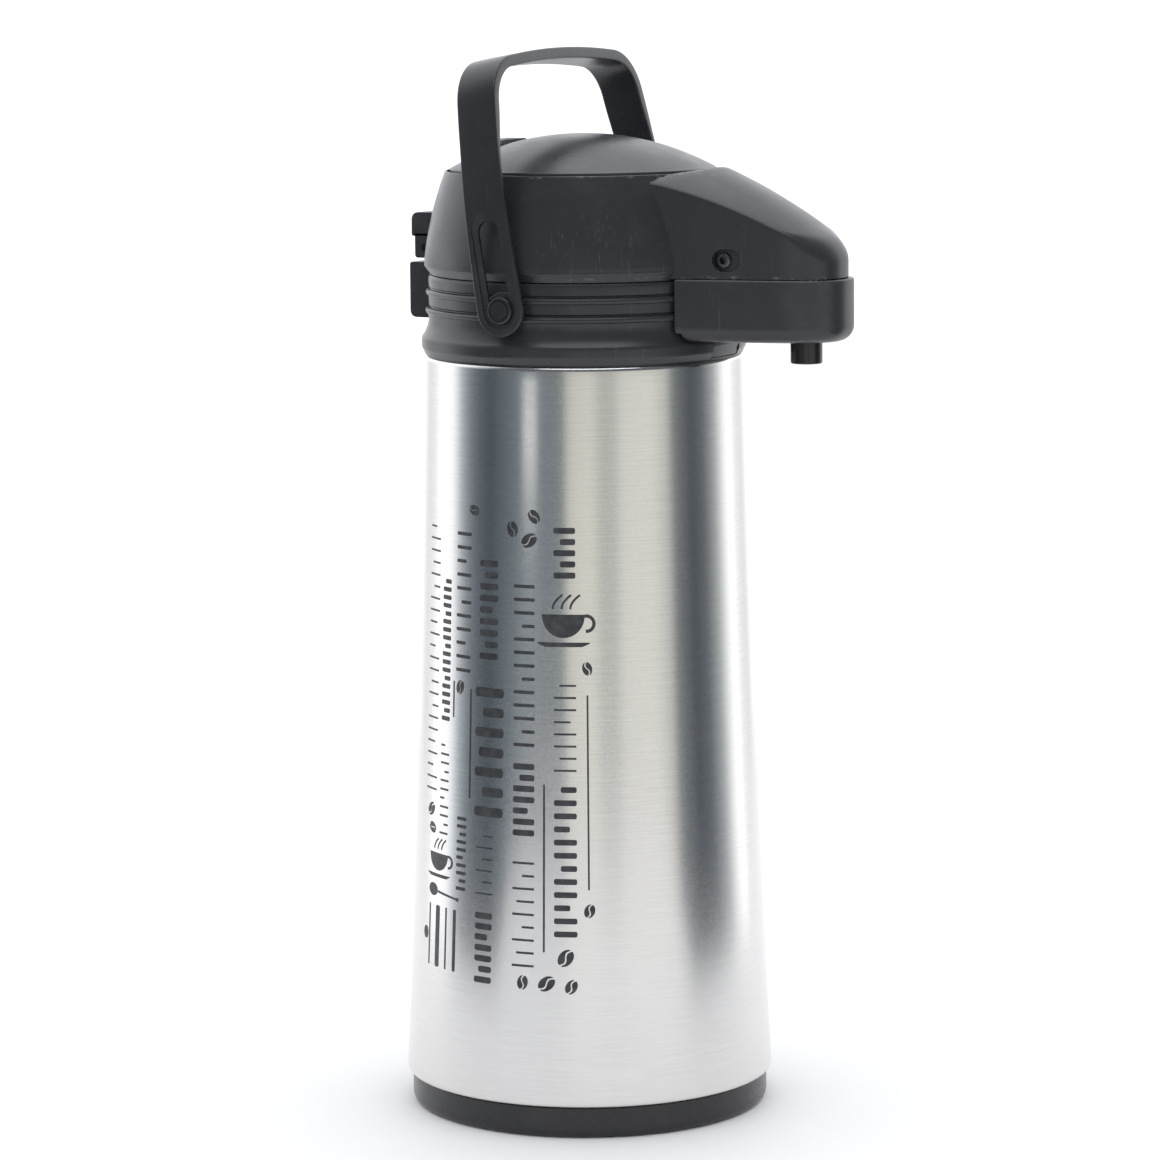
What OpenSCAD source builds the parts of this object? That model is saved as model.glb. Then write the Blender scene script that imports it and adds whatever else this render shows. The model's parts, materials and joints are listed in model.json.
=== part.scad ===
// Push-pad vacuum dispenser for hot drinks, in millimetres.
// Z is up, the base stands on z = 0, the body axis is the Z axis and the spout points to -Y.

/* [Steel body] */
// Height of the top edge of the steel shell
shell_top = 293.5; // [292:0.5:295]
// Radius of the steel shell at its top edge
shell_top_r = 61.5; // [61.3:0.1:62]
// Radius of the steel shell at its foot
shell_foot_r = 71.5; // [71:0.5:74]
// How far the flank of the shell curves in from a straight cone
shell_sag = 1.1; // [0.6:0.1:1.4]
// Sheet thickness of the shell
shell_wall = 0.6; // [0.5:0.1:0.8]
// Height of the base ring
base_h = 12; // [12:0.1:12.4]
// Radius of the base ring
base_r = 69.5; // [69.5:0.1:70]

/* [Collar] */
// Radius of the ridged neck
neck_r = 59.7; // [59.5:0.1:60]
// Radius of the flange that covers the shell's top edge
flange_r = 62.5; // [62.2:0.1:62.7]
// Wall thickness of the collar
collar_wall = 2.7; // [2.4:0.1:2.9]

/* [Lid] */
// Widest radius of the lid
lid_r = 61.3; // [61:0.1:61.6]
// Height of the rim round the push pad
rim_z = 363.5; // [363.2:0.1:364]
// Wall thickness of the lid and spout mouldings
lid_wall = 2.2; // [2:0.1:2.5]
// Largest angle that the lid opens under the raised handle
lid_open = 22; // [10:1:22]

/* [Push pad] */
// Radius of the pad in plan
pad_r = 50.9; // [50.4:0.1:51]
// Radius of the sphere that the pad is cut from
pad_dome_r = 106; // [104:1:108]
// Height of the pad's highest point
pad_top = 377.3; // [377:0.1:377.8]
// Travel of the lock slide on the pad
lock_travel = 6; // [4:0.5:6]

/* [Spout] */
// Reach of the spout's top cover in front of the axis
spout_reach = 110.4; // [109:0.2:111]
// Half width of the spout where it leaves the dome
spout_root = 28.6; // [28:0.2:29]
// Half width that the straight flanks would reach at the tip
spout_tip = 15.9; // [15.5:0.1:16.5]
// Distance of the nozzle from the axis
nozzle_y = 95.3; // [94.8:0.1:95.6]
// Outer diameter of the nozzle
nozzle_d = 11.5; // [11:0.5:12]

/* [Handle] */
// Width of the carry strap
strap_w = 16.8; // [16:0.2:17.6]
// Thickness of the strap at the top
strap_t = 4.3; // [4:0.1:4.4]
// Thickness of the strap's arms
arm_t = 2.2; // [2:0.1:2.3]
// Backward tilt of the handle
handle_tilt = 9.7; // [9:0.1:10]
// Length of the slot in each arm between its end centres
slot_len = 28; // [26:1:28]

/* [Vacuum flask] */
// Outer radius of the outer glass
glass_r = 58.5; // [58:0.1:58.6]
// Gap between the two glass walls
vacuum_gap = 2.6; // [2.4:0.1:2.8]
// Inner radius of the flask's neck
mouth_r = 26.2; // [26:0.1:26.4]

/* [Hidden] */
$fn = 96;
e = 0.01;          // overlap that keeps cuts clean
play = 0.3;        // free gap between bodies
fit = 0.05;        // radial play of a pin in its bore
shell_foot = 14;   // height of the shell's widest ring
seam = 323.9;      // top edge of the collar
lid_bottom = 324.3;
floor_low = 294;   // underside of the collar's inner floor
floor_top = 297;   // top of the collar's inner floor
pivot_z = 314;     // handle pivots, on the X axis
hinge_y = 63.9;    // lid hinge
hinge_z = 332.6;
hinge_half = 12;   // half width of the hinge parts
tongue_half = 5.7; // half width of the fixed knuckle
hinge_pin_r = 1.5;
rim_r = 52.1;      // opening round the pad
press_y = -72.2;   // pad pivot
press_z = 332;
press_pin_r = 2;
recess_x = 22;     // floor of the recess round each pad pivot screw
pipe_z = 329.5;    // axis of the level stretch of the outlet pipe
pipe_r = 5;
pipe_bore = 3.6;
tube_r = 4;        // riser tube
base_z = 335.5;    // underside of the bellows base plate
bellows_low = 338;
bellows_top = 360;
screw_r = 1.45;    // shank of every small screw
hole_r = 1.5;      // hole for it
boss_r = 3.4;
arm_x = 65.2;      // outer face of the handle's arms
pin_r = 4.2;       // handle pivot pin
slot_half = 4.4;
pad_centre_z = pad_top - pad_dome_r;
button_half = 10.5;
button_low = 294.2;
button_top = 301;
base_screw_ring = 55.5;
lid_screw_ring = 52.5;
lid_screw_angles = [20, 160, 225, 315];
spout_screw_at = [13, -88];
black = [0.17, 0.17, 0.18];
charcoal = [0.22, 0.22, 0.23];
steel = [0.78, 0.77, 0.75];
zinc = [0.62, 0.63, 0.65];
rubber = [0.30, 0.30, 0.30];
clear_glass = [0.75, 0.82, 0.85];
natural = [0.88, 0.87, 0.83];

// points along an arc round centre c
function arc(c, r, from, to, n = 6) =
    [for (i = [0:n]) c + r * [cos(from + (to - from) * i / n), sin(from + (to - from) * i / n)]];

// points from a to b that bow out by s in the middle, to the right of the way from a to b
function bow(a, b, s, n = 8) =
    let (d = b - a, side = [d[1], -d[0]] / norm(d))
    [for (i = [0:n]) let (t = i / n) a + d * t + side * 4 * s * t * (1 - t)];

function reversed(list) = [for (i = [len(list) - 1:-1:0]) list[i]];
function moved(list, by) = [for (p = list) p + by];
function mirrored(list) = [for (p = list) [-p[0], p[1]]];

module ring(r_out, r_in, low, high) {
    translate([0, 0, low])
        difference() {
            cylinder(r = r_out, h = high - low);
            translate([0, 0, -1]) cylinder(r = r_in, h = high - low + 2);
        }
}

module rod_x(r, from, to, y, z) {
    translate([from, y, z]) rotate([0, 90, 0]) cylinder(r = r, h = to - from);
}

module rod_y(r, from, to, x, z) {
    translate([x, from, z]) rotate([-90, 0, 0]) cylinder(r = r, h = to - from);
}

module rod_z(r, from, to, x, y) {
    translate([x, y, from]) cylinder(r = r, h = to - from);
}

module box(low, high) {
    translate(low) cube(high - low);
}

// a side outline in (y, z), extruded across x from -half to half
module across(half, outline) {
    translate([-half, 0, 0])
        rotate([90, 0, 90])
            linear_extrude(2 * half) polygon(outline);
}

module both_sides() {
    children();
    mirror([1, 0, 0]) children();
}

// round wire wound about the z axis, with flat-ended turns left out
module helix(r, wire, low, high, turns, sides = 6, steps = 16) {
    n = turns * steps;
    points = [
        for (i = [0:n], k = [0:sides - 1])
            let (a = 360 * i / steps, b = 360 * k / sides, rr = r + wire * cos(b))
            [rr * cos(a), rr * sin(a), low + wire + (high - low - 2 * wire) * i / n + wire * sin(b)]
    ];
    walls = [
        for (i = [0:n - 1], k = [0:sides - 1])
            let (m = (k + 1) % sides)
            [i * sides + k, i * sides + m, (i + 1) * sides + m, (i + 1) * sides + k]
    ];
    start = [for (k = [sides - 1:-1:0]) k];
    finish = [for (k = [0:sides - 1]) n * sides + k];
    polyhedron(points, concat([start], walls, [finish]), convexity = 10);
}

// ---------- base ----------

module base_ring() {
    edge = 4.5;
    spigot_r = 69.2;
    inner_r = 66.3;
    color(black)
    difference() {
        union() {
            rotate_extrude()
                polygon(concat(
                    [[61.3, 0]],
                    arc([base_r - edge, edge], edge, -90, 0),
                    [[base_r, base_h], [spigot_r, base_h], [spigot_r, 24], [inner_r, 24],
                     [inner_r, 6.2], [50, 6.2], [50, 3.2], [61.3, 3.2]]));
            for (i = [0:2]) rotate(120 * i + 30) rod_z(4, 6, 16, base_screw_ring, 0);
        }
        for (i = [0:2]) rotate(120 * i + 30) rod_z(hole_r, 3, 17, base_screw_ring, 0);
    }
}

module bottom_cap() {
    color(black)
    difference() {
        union() {
            rod_z(61, 0, 3, 0, 0);
            ring(28, 24, 3 - e, 10);
            ring(44, 42, 3 - e, 6);
        }
        for (i = [0:2])
            rotate(120 * i + 30) {
                rod_z(hole_r, -1, 4, base_screw_ring, 0);
                translate([base_screw_ring, 0, -e]) cylinder(r1 = 3.4, r2 = hole_r, h = 2.4);
            }
        // finger grips for turning the cap
        for (i = [0:11]) rotate(30 * i) rod_z(1.6, -e, 1, 34, 0);
    }
}

module base_screws() {
    color(zinc)
    for (i = [0:2])
        rotate(120 * i + 30)
            difference() {
                union() {
                    translate([base_screw_ring, 0, 0.5]) cylinder(r1 = 2.6, r2 = screw_r, h = 1.7);
                    rod_z(screw_r, 2, 14, base_screw_ring, 0);
                }
                box([base_screw_ring - 2, -0.4, 0], [base_screw_ring + 2, 0.4, 1.2]);
                box([base_screw_ring - 0.4, -2, 0], [base_screw_ring + 0.4, 2, 1.2]);
            }
}

module bottom_cushion() {
    color(rubber)
    difference() {
        rod_z(33, 10, 19.9, 0, 0);
        rod_z(18, 9, 21, 0, 0);
        for (i = [0:5]) rotate(60 * i) box([29, -2.5, 14], [34, 2.5, 21]);
    }
}

// ---------- steel shell ----------

// outer radius of the shell at height z
function shell_r(z) =
    let (u = (shell_top - z) / (shell_top - shell_foot))
    shell_top_r + (shell_foot_r - shell_top_r) * u - 4 * shell_sag * u * (1 - u);

module steel_shell() {
    steps = 14;
    roll = 1.5;
    flank = [for (i = [0:steps])
        let (z = shell_foot + (shell_top - shell_foot) * i / steps) [shell_r(z), z]];
    foot = [[shell_foot_r - roll, shell_foot - 1.9], [shell_foot_r - 0.5, shell_foot - 1.3]];
    outside = concat(foot, flank);
    color(steel)
    rotate_extrude() polygon(concat(outside, reversed(moved(outside, [-shell_wall, 0]))));
}

// ---------- vacuum flask ----------

// half outline of a bottle from the middle of its bottom to the top of its neck
function bottle(r, neck, bottom, shoulder, top) =
    let (
        corner = 24, crown = 22, turn = 70,
        hollow = (r - crown * (1 - cos(turn)) - neck) / (1 - cos(turn)),
        neck_z = shoulder + (crown + hollow) * sin(turn))
    concat(
        [[0, bottom]],
        arc([r - corner, bottom + corner], corner, -90, 0, 5),
        arc([r - crown, shoulder], crown, 0, turn, 5),
        arc([neck + hollow, neck_z], hollow, 180 + turn, 180, 5),
        [[neck, top]]);

module glass_wall(r, neck, thick, neck_thick, bottom, shoulder, top) {
    outside = bottle(r, neck, bottom, shoulder, top);
    inside = bottle(r - thick, neck - neck_thick, bottom + thick, shoulder, top);
    rotate_extrude() polygon(concat(outside, reversed(inside)));
}

flask_top = 292;
lip_low = 290.5;
inner_glass_r = glass_r - 1.6 - vacuum_gap;

module flask_outer_glass() {
    color(clear_glass)
    glass_wall(glass_r, mouth_r + 4.8, 1.6, 1.6, 20, 235, lip_low);
}

module flask_inner_glass() {
    color(clear_glass)
    union() {
        glass_wall(inner_glass_r, mouth_r + 1.8, 1.8, 1.8, 25, 232, flask_top);
        ring(mouth_r + 4.8, mouth_r + 0.9, lip_low, flask_top);
    }
}

module spacer_pads() {
    color(natural)
    for (i = [0:2])
        rotate(120 * i)
            intersection() {
                ring(glass_r - 1.65, inner_glass_r + 0.05, 60, 80);
                rod_x(7, 40, 70, 0, 70);
            }
}

module neck_gasket() {
    color(rubber)
    rotate_extrude()
        polygon([[mouth_r + 0.3, flask_top], [mouth_r + 4.9, flask_top], [mouth_r + 4.9, 284],
                 [mouth_r + 7, 284], [mouth_r + 7, floor_low], [mouth_r + 0.3, floor_low]]);
}

// ---------- collar ----------

// outside of the collar from its lower spigot to its top edge
function collar_outside() =
    let (bead = 1.25)
    concat(
        [[60.6, 284], [60.6, 293.7], [61.2, 293.9], [flange_r, 298.6], [flange_r - 0.4, 301.3],
         [neck_r, 306]],
        arc([neck_r - 0.05, 310.3], bead, -80, 80, 4),
        [[neck_r - 0.5, 312], [neck_r, 312.6]],
        arc([neck_r - 0.25, 317.3], bead, -78, 78, 4),
        [[neck_r - 0.5, 319], [neck_r, 319.6], [neck_r, 322.6], [neck_r - 0.6, seam]]);

module collar_solid(grow = 0) {
    rotate_extrude()
        polygon(concat([[0, 284]], moved(collar_outside(), [grow, 0]), [[0, seam]]));
}

module collar() {
    wall_r = neck_r - collar_wall;
    color(charcoal)
    difference() {
        union() {
            difference() {
                collar_solid();
                rod_z(wall_r, floor_top, seam + 1, 0, 0);
                rod_z(57.6, 283, floor_low, 0, 0);
                rod_z(mouth_r + 0.3, floor_low - 1, floor_top + 1, 0, 0);
            }
            both_sides() rod_x(7, 53.5, 62.3, 0, pivot_z);
            box([-6.4, -46, floor_top - e], [6.4, -44.5, 301.8]);
        }
        // journals of the handle pins
        both_sides() rod_x(pin_r + fit, 50, 66, 0, pivot_z);
        // pocket of the release button
        box([-button_half - play, -66, floor_low - 0.1], [button_half + play, -49.6, 301.3]);
        for (x = [-8, 8]) {
            rod_y(1.6, 50, 62, x, pivot_z);
            rod_y(2.9, 50, 56.2, x, pivot_z);
        }
    }
}

module release_button() {
    bar_low = 302.8;
    bar_top = 305;
    color(charcoal)
    union() {
        intersection() {
            collar_solid();
            box([-button_half, -64, button_low], [button_half, -52.5, button_top]);
        }
        both_sides() box([7, -54.2, button_top - 2], [9, -47, bar_top]);
        box([-9, -48.7, bar_low], [9, -47, bar_top]);
    }
}

module release_spring() {
    color(steel)
    translate([0, 0, 299.3])
        rotate([90, 0, 0])
            helix(1.7, 0.3, 46.1, 52.4, 5, 6, 12);
}

module hinge_bracket() {
    block = concat(
        [[54, 305.4]],
        arc([67.7, 308.4], 3, -90, 0, 4),
        arc([69.2, 325.5], 1.5, 0, 90, 3),
        [[54, 327]]);
    color(charcoal)
    difference() {
        union() {
            across(hinge_half, block);
            across(tongue_half, [[61.9, 326], [66.5, 326], [66.5, hinge_z], [61.9, hinge_z]]);
            rod_x(2.9, -tongue_half, tongue_half, hinge_y, hinge_z);
        }
        collar_solid();
        rod_z(61.8, seam - 0.4, 345, 0, 0);
        rod_x(hinge_pin_r + 0.01, -20, 20, hinge_y, hinge_z);
        for (x = [-8, 8]) rod_y(hole_r, 50, 66.5, x, pivot_z);
    }
}

module bracket_screws() {
    color(zinc)
    for (x = [-8, 8])
        difference() {
            union() {
                rod_y(2.8, 54, 56.2, x, pivot_z);
                rod_y(screw_r, 56, 66, x, pivot_z);
            }
            box([x - 0.4, 53, pivot_z - 2], [x + 0.4, 55, pivot_z + 2]);
            box([x - 2, 53, pivot_z - 0.4], [x + 2, 55, pivot_z + 0.4]);
        }
}

module hinge_pin() {
    color(steel)
    rod_x(hinge_pin_r, -hinge_half, hinge_half, hinge_y, hinge_z);
}

// ---------- riser ----------

module riser_holder() {
    color(natural)
    difference() {
        union() {
            ring(29.5, 22.5, floor_top, 298.5);
            ring(25.5, 22.5, 288, 298);
            rod_z(7, 290, 298.5, 0, 0);
            for (a = [90, 210, 330]) rotate(a) box([5, -2, 292], [23, 2, 298.5]);
        }
        rod_z(tube_r, 280, 300, 0, 0);
    }
}

module riser_tube() {
    color(natural)
    difference() {
        union() {
            rod_z(tube_r, 34, 303, 0, 0);
            translate([0, 0, 300]) cylinder(r1 = tube_r, r2 = 8, h = 4);
            rod_z(8, 304, 306, 0, 0);
        }
        rod_z(3, 33, 307, 0, 0);
        translate([0, 0, 303]) cylinder(r1 = 3, r2 = 6.5, h = 3 + e);
        // inlet notch at the foot
        box([-6, -1.5, 33], [6, 1.5, 37]);
    }
}

// ---------- carry handle ----------

// the outer line of one half of the strap, as [x, height above the pivot, direction in degrees]
// the arm stands straight to arm_straight, leans in on a wide arc, turns the corner and runs into the arch
arm_straight = 17.3;
lean_rise = 61.2;
lean_r = 284;
corner_r = 20;
arch_r = 418;
lean_turn = asin(lean_rise / lean_r);
lean_end = [arm_x - lean_r * (1 - cos(lean_turn)), arm_straight + lean_rise];
arch_turn = asin(
    (lean_end[0] - corner_r * cos(lean_turn)) / (arch_r - corner_r));
corner_centre = lean_end - corner_r * [cos(lean_turn), sin(lean_turn)];
arch_centre_v = corner_centre[1] - (arch_r - corner_r) * cos(arch_turn);
strap_top = arch_centre_v + arch_r;

function strap_line() =
    concat(
        [[arm_x, -9.6, 0], [arm_x, arm_straight, 0]],
        [for (i = [1:8]) let (a = lean_turn * i / 8)
            [arm_x - lean_r * (1 - cos(a)), arm_straight + lean_r * sin(a), a]],
        [for (i = [1:8]) let (a = lean_turn + (90 - arch_turn - lean_turn) * i / 8)
            [corner_centre[0] + corner_r * cos(a), corner_centre[1] + corner_r * sin(a), a]],
        [for (i = [1:6]) let (a = 90 - arch_turn + arch_turn * i / 6)
            [arch_r * cos(a), arch_centre_v + arch_r * sin(a), a]]);

// thickness of the strap at height v
function strap_thick(v) =
    let (t = max(0, min(1, (v - 50) / 26))) arm_t + (strap_t - arm_t) * t * t * (3 - 2 * t);

module strap_outline() {
    line = strap_line();
    outside = [for (p = line) [p[0], p[1]]];
    inside = [for (p = line)
        [p[0], p[1]] - strap_thick(p[1]) * [cos(p[2]), sin(p[2])]];
    polygon(concat(outside, reversed(mirrored(outside)), mirrored(inside), reversed(inside)));
}

// a vertical stadium across x, from x = from to x = to
module stadium_x(half, from, to, low, high) {
    rod_x(half, from, to, 0, low);
    rod_x(half, from, to, 0, high);
    box([from, -half, low], [to, half, high]);
}

module carry_handle() {
    recess_half = 6.2;
    recess_depth = 0.9;
    end_r = strap_w / 2;
    color(charcoal)
    translate([0, 0, pivot_z])
        rotate([-handle_tilt, 0, 0])
            difference() {
                intersection() {
                    rotate([90, 0, 0])
                        translate([0, 0, -strap_w / 2])
                            linear_extrude(strap_w) strap_outline();
                    union() {
                        box([-70, -strap_w / 2, 0], [70, strap_w / 2, 110]);
                        rod_x(end_r, -70, 70, 0, 0);
                    }
                }
                both_sides() {
                    stadium_x(slot_half, 55, 70, 0, slot_len);
                    stadium_x(recess_half, arm_x - recess_depth, 70, 0, slot_len + 0.5);
                }
            }
}

module handle_pivot_pins() {
    color(charcoal)
    both_sides()
        difference() {
            union() {
                rod_x(pin_r, 52.4, arm_x - 0.6, 0, pivot_z);
                rod_x(5.6, arm_x - 0.6, arm_x + 0.6, 0, pivot_z);
                rod_x(6, 51.2, 52.8, 0, pivot_z);
            }
            rod_x(1.6, arm_x - 3, 70, 0, pivot_z);
        }
}

// ---------- lid ----------

function dome_outside() =
    concat(
        [[59.1, lid_bottom]],
        bow([lid_r, 327.5], [53.1, rim_z - 0.7], 1.2),
        [[52.7, rim_z]]);

function dome_inside() =
    concat(
        [[59.1 - lid_wall, lid_bottom - 1], [59.1 - lid_wall, lid_bottom]],
        bow([lid_r - lid_wall - 0.2, 328.6], [52.3, 360.6], 1.0),
        [[rim_r, 362], [rim_r, 370]]);

module dome_solid() {
    rotate_extrude()
        polygon(concat([[0, lid_bottom]], dome_outside(), [[0, rim_z]]));
}

module dome_hollow() {
    rotate_extrude()
        polygon(concat([[0, lid_bottom - 1]], dome_inside(), [[0, 370]]));
}

nose_len = 22;      // length of the rounded nose in plan
nose_power = 2.6;   // 2 would make the nose an ellipse

// half width of the spout at distance d in front of the axis, for a nose at distance reach
function spout_half(d, reach, inset) =
    let (
        width = spout_root + (spout_tip - spout_root) * (d - 52) / 58 - inset,
        t = max(0, (d - (reach - nose_len)) / nose_len))
    width * pow(max(0, 1 - pow(t, nose_power)), 1 / nose_power);

module spout_plan(reach, inset = 0) {
    steps = 10;
    distances = concat(
        [36],
        [for (i = [0:steps]) reach - nose_len * (1 - sin(90 * i / steps))]);
    side = [for (d = distances) [spout_half(d, reach, inset), -d]];
    polygon(concat(side, reversed([for (p = side) if (p[0] > e) [-p[0], p[1]]])));
}

// ridge of the spout's top in (y, z), from the pad opening to the nose
ridge_near = [-50, 368.3];
ridge_far = [-109.6, 337.2];
ridge_bow = 2.3;
ridge_fall = atan((ridge_near[1] - ridge_far[1]) / (ridge_near[0] - ridge_far[0]));
crown_r = 45;

// the wedge-like spout top: plan, side view and a crowned upper face cut one another
module spout_top(inset, drop, bottom) {
    reach = spout_reach - inset;
    lower = [0, -drop];
    intersection() {
        translate([0, 0, bottom]) linear_extrude(60) spout_plan(reach, inset);
        across(40, concat(
            [[-36, bottom - 1], [-36, ridge_near[1] - drop]],
            bow(ridge_near + lower, ridge_far + lower, ridge_bow, 8),
            [[-reach - 1, ridge_far[1] - 4 - drop], [-reach - 1, bottom - 1]]));
        // crown: a cylinder laid along the ridge
        translate([0, ridge_near[0], ridge_near[1] - drop])
            rotate([90 + ridge_fall, 0, 0])
                translate([0, ridge_bow - crown_r, -25])
                    cylinder(r = crown_r, h = 110);
    }
}

module hinge_cap() {
    across(hinge_half, concat(
        [[50, 337], [69.7, 337]],
        arc([66.7, 343.3], 3, 0, 90, 4),
        [[50, 346.3]]));
}

module hinge_ears() {
    both_sides()
        difference() {
            union() {
                rod_x(4.3, tongue_half + play, hinge_half, hinge_y, hinge_z);
                box([tongue_half + play, 54, hinge_z], [hinge_half, hinge_y + 4.3, 338]);
            }
        }
}

module spout_boss(low, high) {
    at = spout_screw_at;
    both_sides() {
        rod_z(boss_r, low, high, at[0], at[1]);
        box([at[0], at[1] - 1.2, low], [at[0] + 6.6, at[1] + 1.2, high]);
    }
}

module lid_shell() {
    recess_half = 4.2;
    rear = press_y - 0.4;
    front = press_y - 2.7;
    color(charcoal)
    difference() {
        union() {
            difference() {
                union() {
                    dome_solid();
                    spout_top(0, 0, lid_bottom + 0.7);
                    hinge_cap();
                    hinge_ears();
                }
                dome_hollow();
                spout_top(lid_wall, lid_wall, lid_bottom - 1);
                rod_z(rim_r, 361, 380, 0, 0);
            }
            // bosses for the floor screws, the cover screws and the pad pivots
            for (a = lid_screw_angles)
                intersection() {
                    rotate(a) {
                        rod_z(boss_r, lid_bottom, 338, lid_screw_ring, 0);
                        box([lid_screw_ring, -1.2, lid_bottom], [60, 1.2, 338]);
                    }
                    dome_solid();
                }
            spout_boss(lid_bottom + 0.7, 333);
            both_sides() rod_x(4.6, 15, recess_x + 0.6, press_y, press_z);
        }
        // notch round the fixed knuckle of the hinge
        box([-tongue_half - play, 61, lid_bottom - 1], [tongue_half + play, 72, hinge_z]);
        rod_x(3.4, -tongue_half - play, tongue_half + play, hinge_y, hinge_z);
        rod_x(hinge_pin_r + fit, -20, 20, hinge_y, hinge_z);
        for (a = lid_screw_angles)
            rotate(a) rod_z(hole_r, lid_bottom - 1, 335, lid_screw_ring, 0);
        both_sides() {
            rod_z(hole_r, lid_bottom - 1, 332, spout_screw_at[0], spout_screw_at[1]);
            rod_x(recess_half, recess_x, 30, rear, press_z);
            rod_x(recess_half, recess_x, 30, front, press_z);
            box([recess_x, front, press_z - recess_half], [30, rear, press_z + recess_half]);
            rod_x(press_pin_r + 0.01, 14, 30, press_y, press_z);
        }
    }
}

module lid_floor() {
    hook_half = 5;
    color(charcoal)
    difference() {
        union() {
            rod_z(55.5, 321, 324, 0, 0);
            // catch that hangs in front of the button's bar
            box([-hook_half, -51.9, 301.4], [hook_half, -50.5, 322]);
            box([-hook_half, -50.7, 301.4], [hook_half, -49.1, 302.4]);
        }
        rod_z(pipe_r + play, 320, 325, 0, 0);
        for (i = [0:2]) rotate(120 * i + 90) rod_z(4, 320, 325, 20, 0);
        for (a = lid_screw_angles) rotate(a) rod_z(hole_r + 0.1, 320, 325, lid_screw_ring, 0);
    }
}

module lid_screws() {
    color(zinc)
    for (a = lid_screw_angles)
        rotate(a)
            difference() {
                union() {
                    rod_z(2.8, 319.4, 321, lid_screw_ring, 0);
                    rod_z(screw_r, 320.9, 333, lid_screw_ring, 0);
                }
                box([lid_screw_ring - 2, -0.4, 319], [lid_screw_ring + 2, 0.4, 320.3]);
                box([lid_screw_ring - 0.4, -2, 319], [lid_screw_ring + 0.4, 2, 320.3]);
            }
}

module stopper_ring() {
    color(charcoal)
    ring(37, 31, 300, 321);
}

module lid_gasket() {
    color(rubber)
    rotate_extrude()
        polygon([[31, floor_top + play], [37, floor_top + play], [38.5, 299], [38.5, 301.5],
                 [37, 301.5], [37, 300], [31, 300]]);
}

module riser_seal() {
    color(rubber)
    difference() {
        union() {
            rod_z(8, 306 + play, 309, 0, 0);
            rod_z(6.6, 309 - e, 314, 0, 0);
        }
        rod_z(3, 306, 310.01, 0, 0);
        rod_z(pipe_r, 310, 315, 0, 0);
    }
}

module pipe_run(r, low) {
    rod_z(r, low, pipe_z, 0, 0);
    translate([0, 0, pipe_z]) sphere(r = r);
    rod_y(r, -nozzle_y, 0, 0, pipe_z);
    translate([0, -nozzle_y, pipe_z]) sphere(r = r);
}

module outlet_pipe() {
    color(natural)
    difference() {
        union() {
            pipe_run(pipe_r, 310);
            rod_z(pipe_r, 305, pipe_z, 0, -nozzle_y);
        }
        pipe_run(pipe_bore, 309);
        rod_z(pipe_bore, 304, pipe_z, 0, -nozzle_y);
    }
}

module spout_lower_solid(inset) {
    reach = 112.7 - inset;
    edge = 5;
    low = 301 + inset;
    hull()
        for (i = [0:4])
            let (a = 90 * i / 4)
            translate([0, 0, low + edge * (1 - cos(a))])
                linear_extrude(i == 4 ? lid_bottom + 0.4 - low - edge + (inset > 0 ? 2 : 0) : 0.01)
                    spout_plan(reach - edge * (1 - sin(a)), inset - 0.6 + edge * (1 - sin(a)));
}

module spout_lower_cover() {
    at = spout_screw_at;
    color(charcoal)
    difference() {
        union() {
            difference() {
                spout_lower_solid(0);
                difference() {
                    spout_lower_solid(lid_wall);
                    rod_z(64.6, 295, 330, 0, 0);
                }
            }
            both_sides() rod_z(boss_r, 302, lid_bottom + 0.4, at[0], at[1]);
        }
        // clear of the ridged neck, the flange and the lid
        rod_z(61.6, 295, 330, 0, 0);
        rod_z(63, 295, 304.5, 0, 0);
        rod_y(pipe_r + play, -80, -50, 0, pipe_z);
        rod_z(nozzle_d / 2 + 0.02, 295, 305, 0, -nozzle_y);
        both_sides() {
            rod_z(hole_r, 300, 330, at[0], at[1]);
            rod_z(3, 300, 303.9, at[0], at[1]);
        }
    }
}

module spout_screws() {
    at = spout_screw_at;
    color(zinc)
    both_sides()
        difference() {
            union() {
                rod_z(2.8, 302.2, 303.9, at[0], at[1]);
                rod_z(screw_r, 303.8, 331, at[0], at[1]);
            }
            box([at[0] - 2, at[1] - 0.4, 301], [at[0] + 2, at[1] + 0.4, 303]);
            box([at[0] - 0.4, at[1] - 2, 301], [at[0] + 0.4, at[1] + 2, 303]);
        }
}

module nozzle() {
    color(black)
    translate([0, -nozzle_y, 0])
        difference() {
            union() {
                rod_z(nozzle_d / 2, 293.4, 304, 0, 0);
                rod_z(7.4, 303.3, 305, 0, 0);
            }
            rod_z(3.8, 293, 306, 0, 0);
        }
}

module pivot_screws() {
    head_x = recess_x;
    color(zinc)
    both_sides()
        difference() {
            union() {
                rod_x(press_pin_r, 10.6, head_x + e, press_y, press_z);
                rod_x(2.85, head_x, head_x + 1.5, press_y, press_z);
            }
            rod_x(1.2, head_x + 0.4, 30, press_y, press_z);
        }
}

// ---------- pump ----------

module bellows_base() {
    color(natural)
    difference() {
        union() {
            rod_z(44, base_z, bellows_low, 0, 0);
            ring(42.5, 40, 324, base_z + e);
        }
        rod_y(pipe_r + play, -50, 0, 0, pipe_z);
        box([-pipe_r - play, -50, 323], [pipe_r + play, 0, pipe_z]);
        rod_z(2, 330, 340, 0, 0);
        for (i = [0:5]) rotate(60 * i) rod_z(1.6, 330, 340, 6, 0);
    }
}

module air_valve() {
    color(rubber)
    union() {
        rod_z(9, bellows_low, bellows_low + 1.2, 0, 0);
        rod_z(1.9, 334.8, bellows_low + 0.1, 0, 0);
        translate([0, 0, 334.6]) cylinder(r1 = 1.2, r2 = 2.6, h = 0.8);
    }
}

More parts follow.
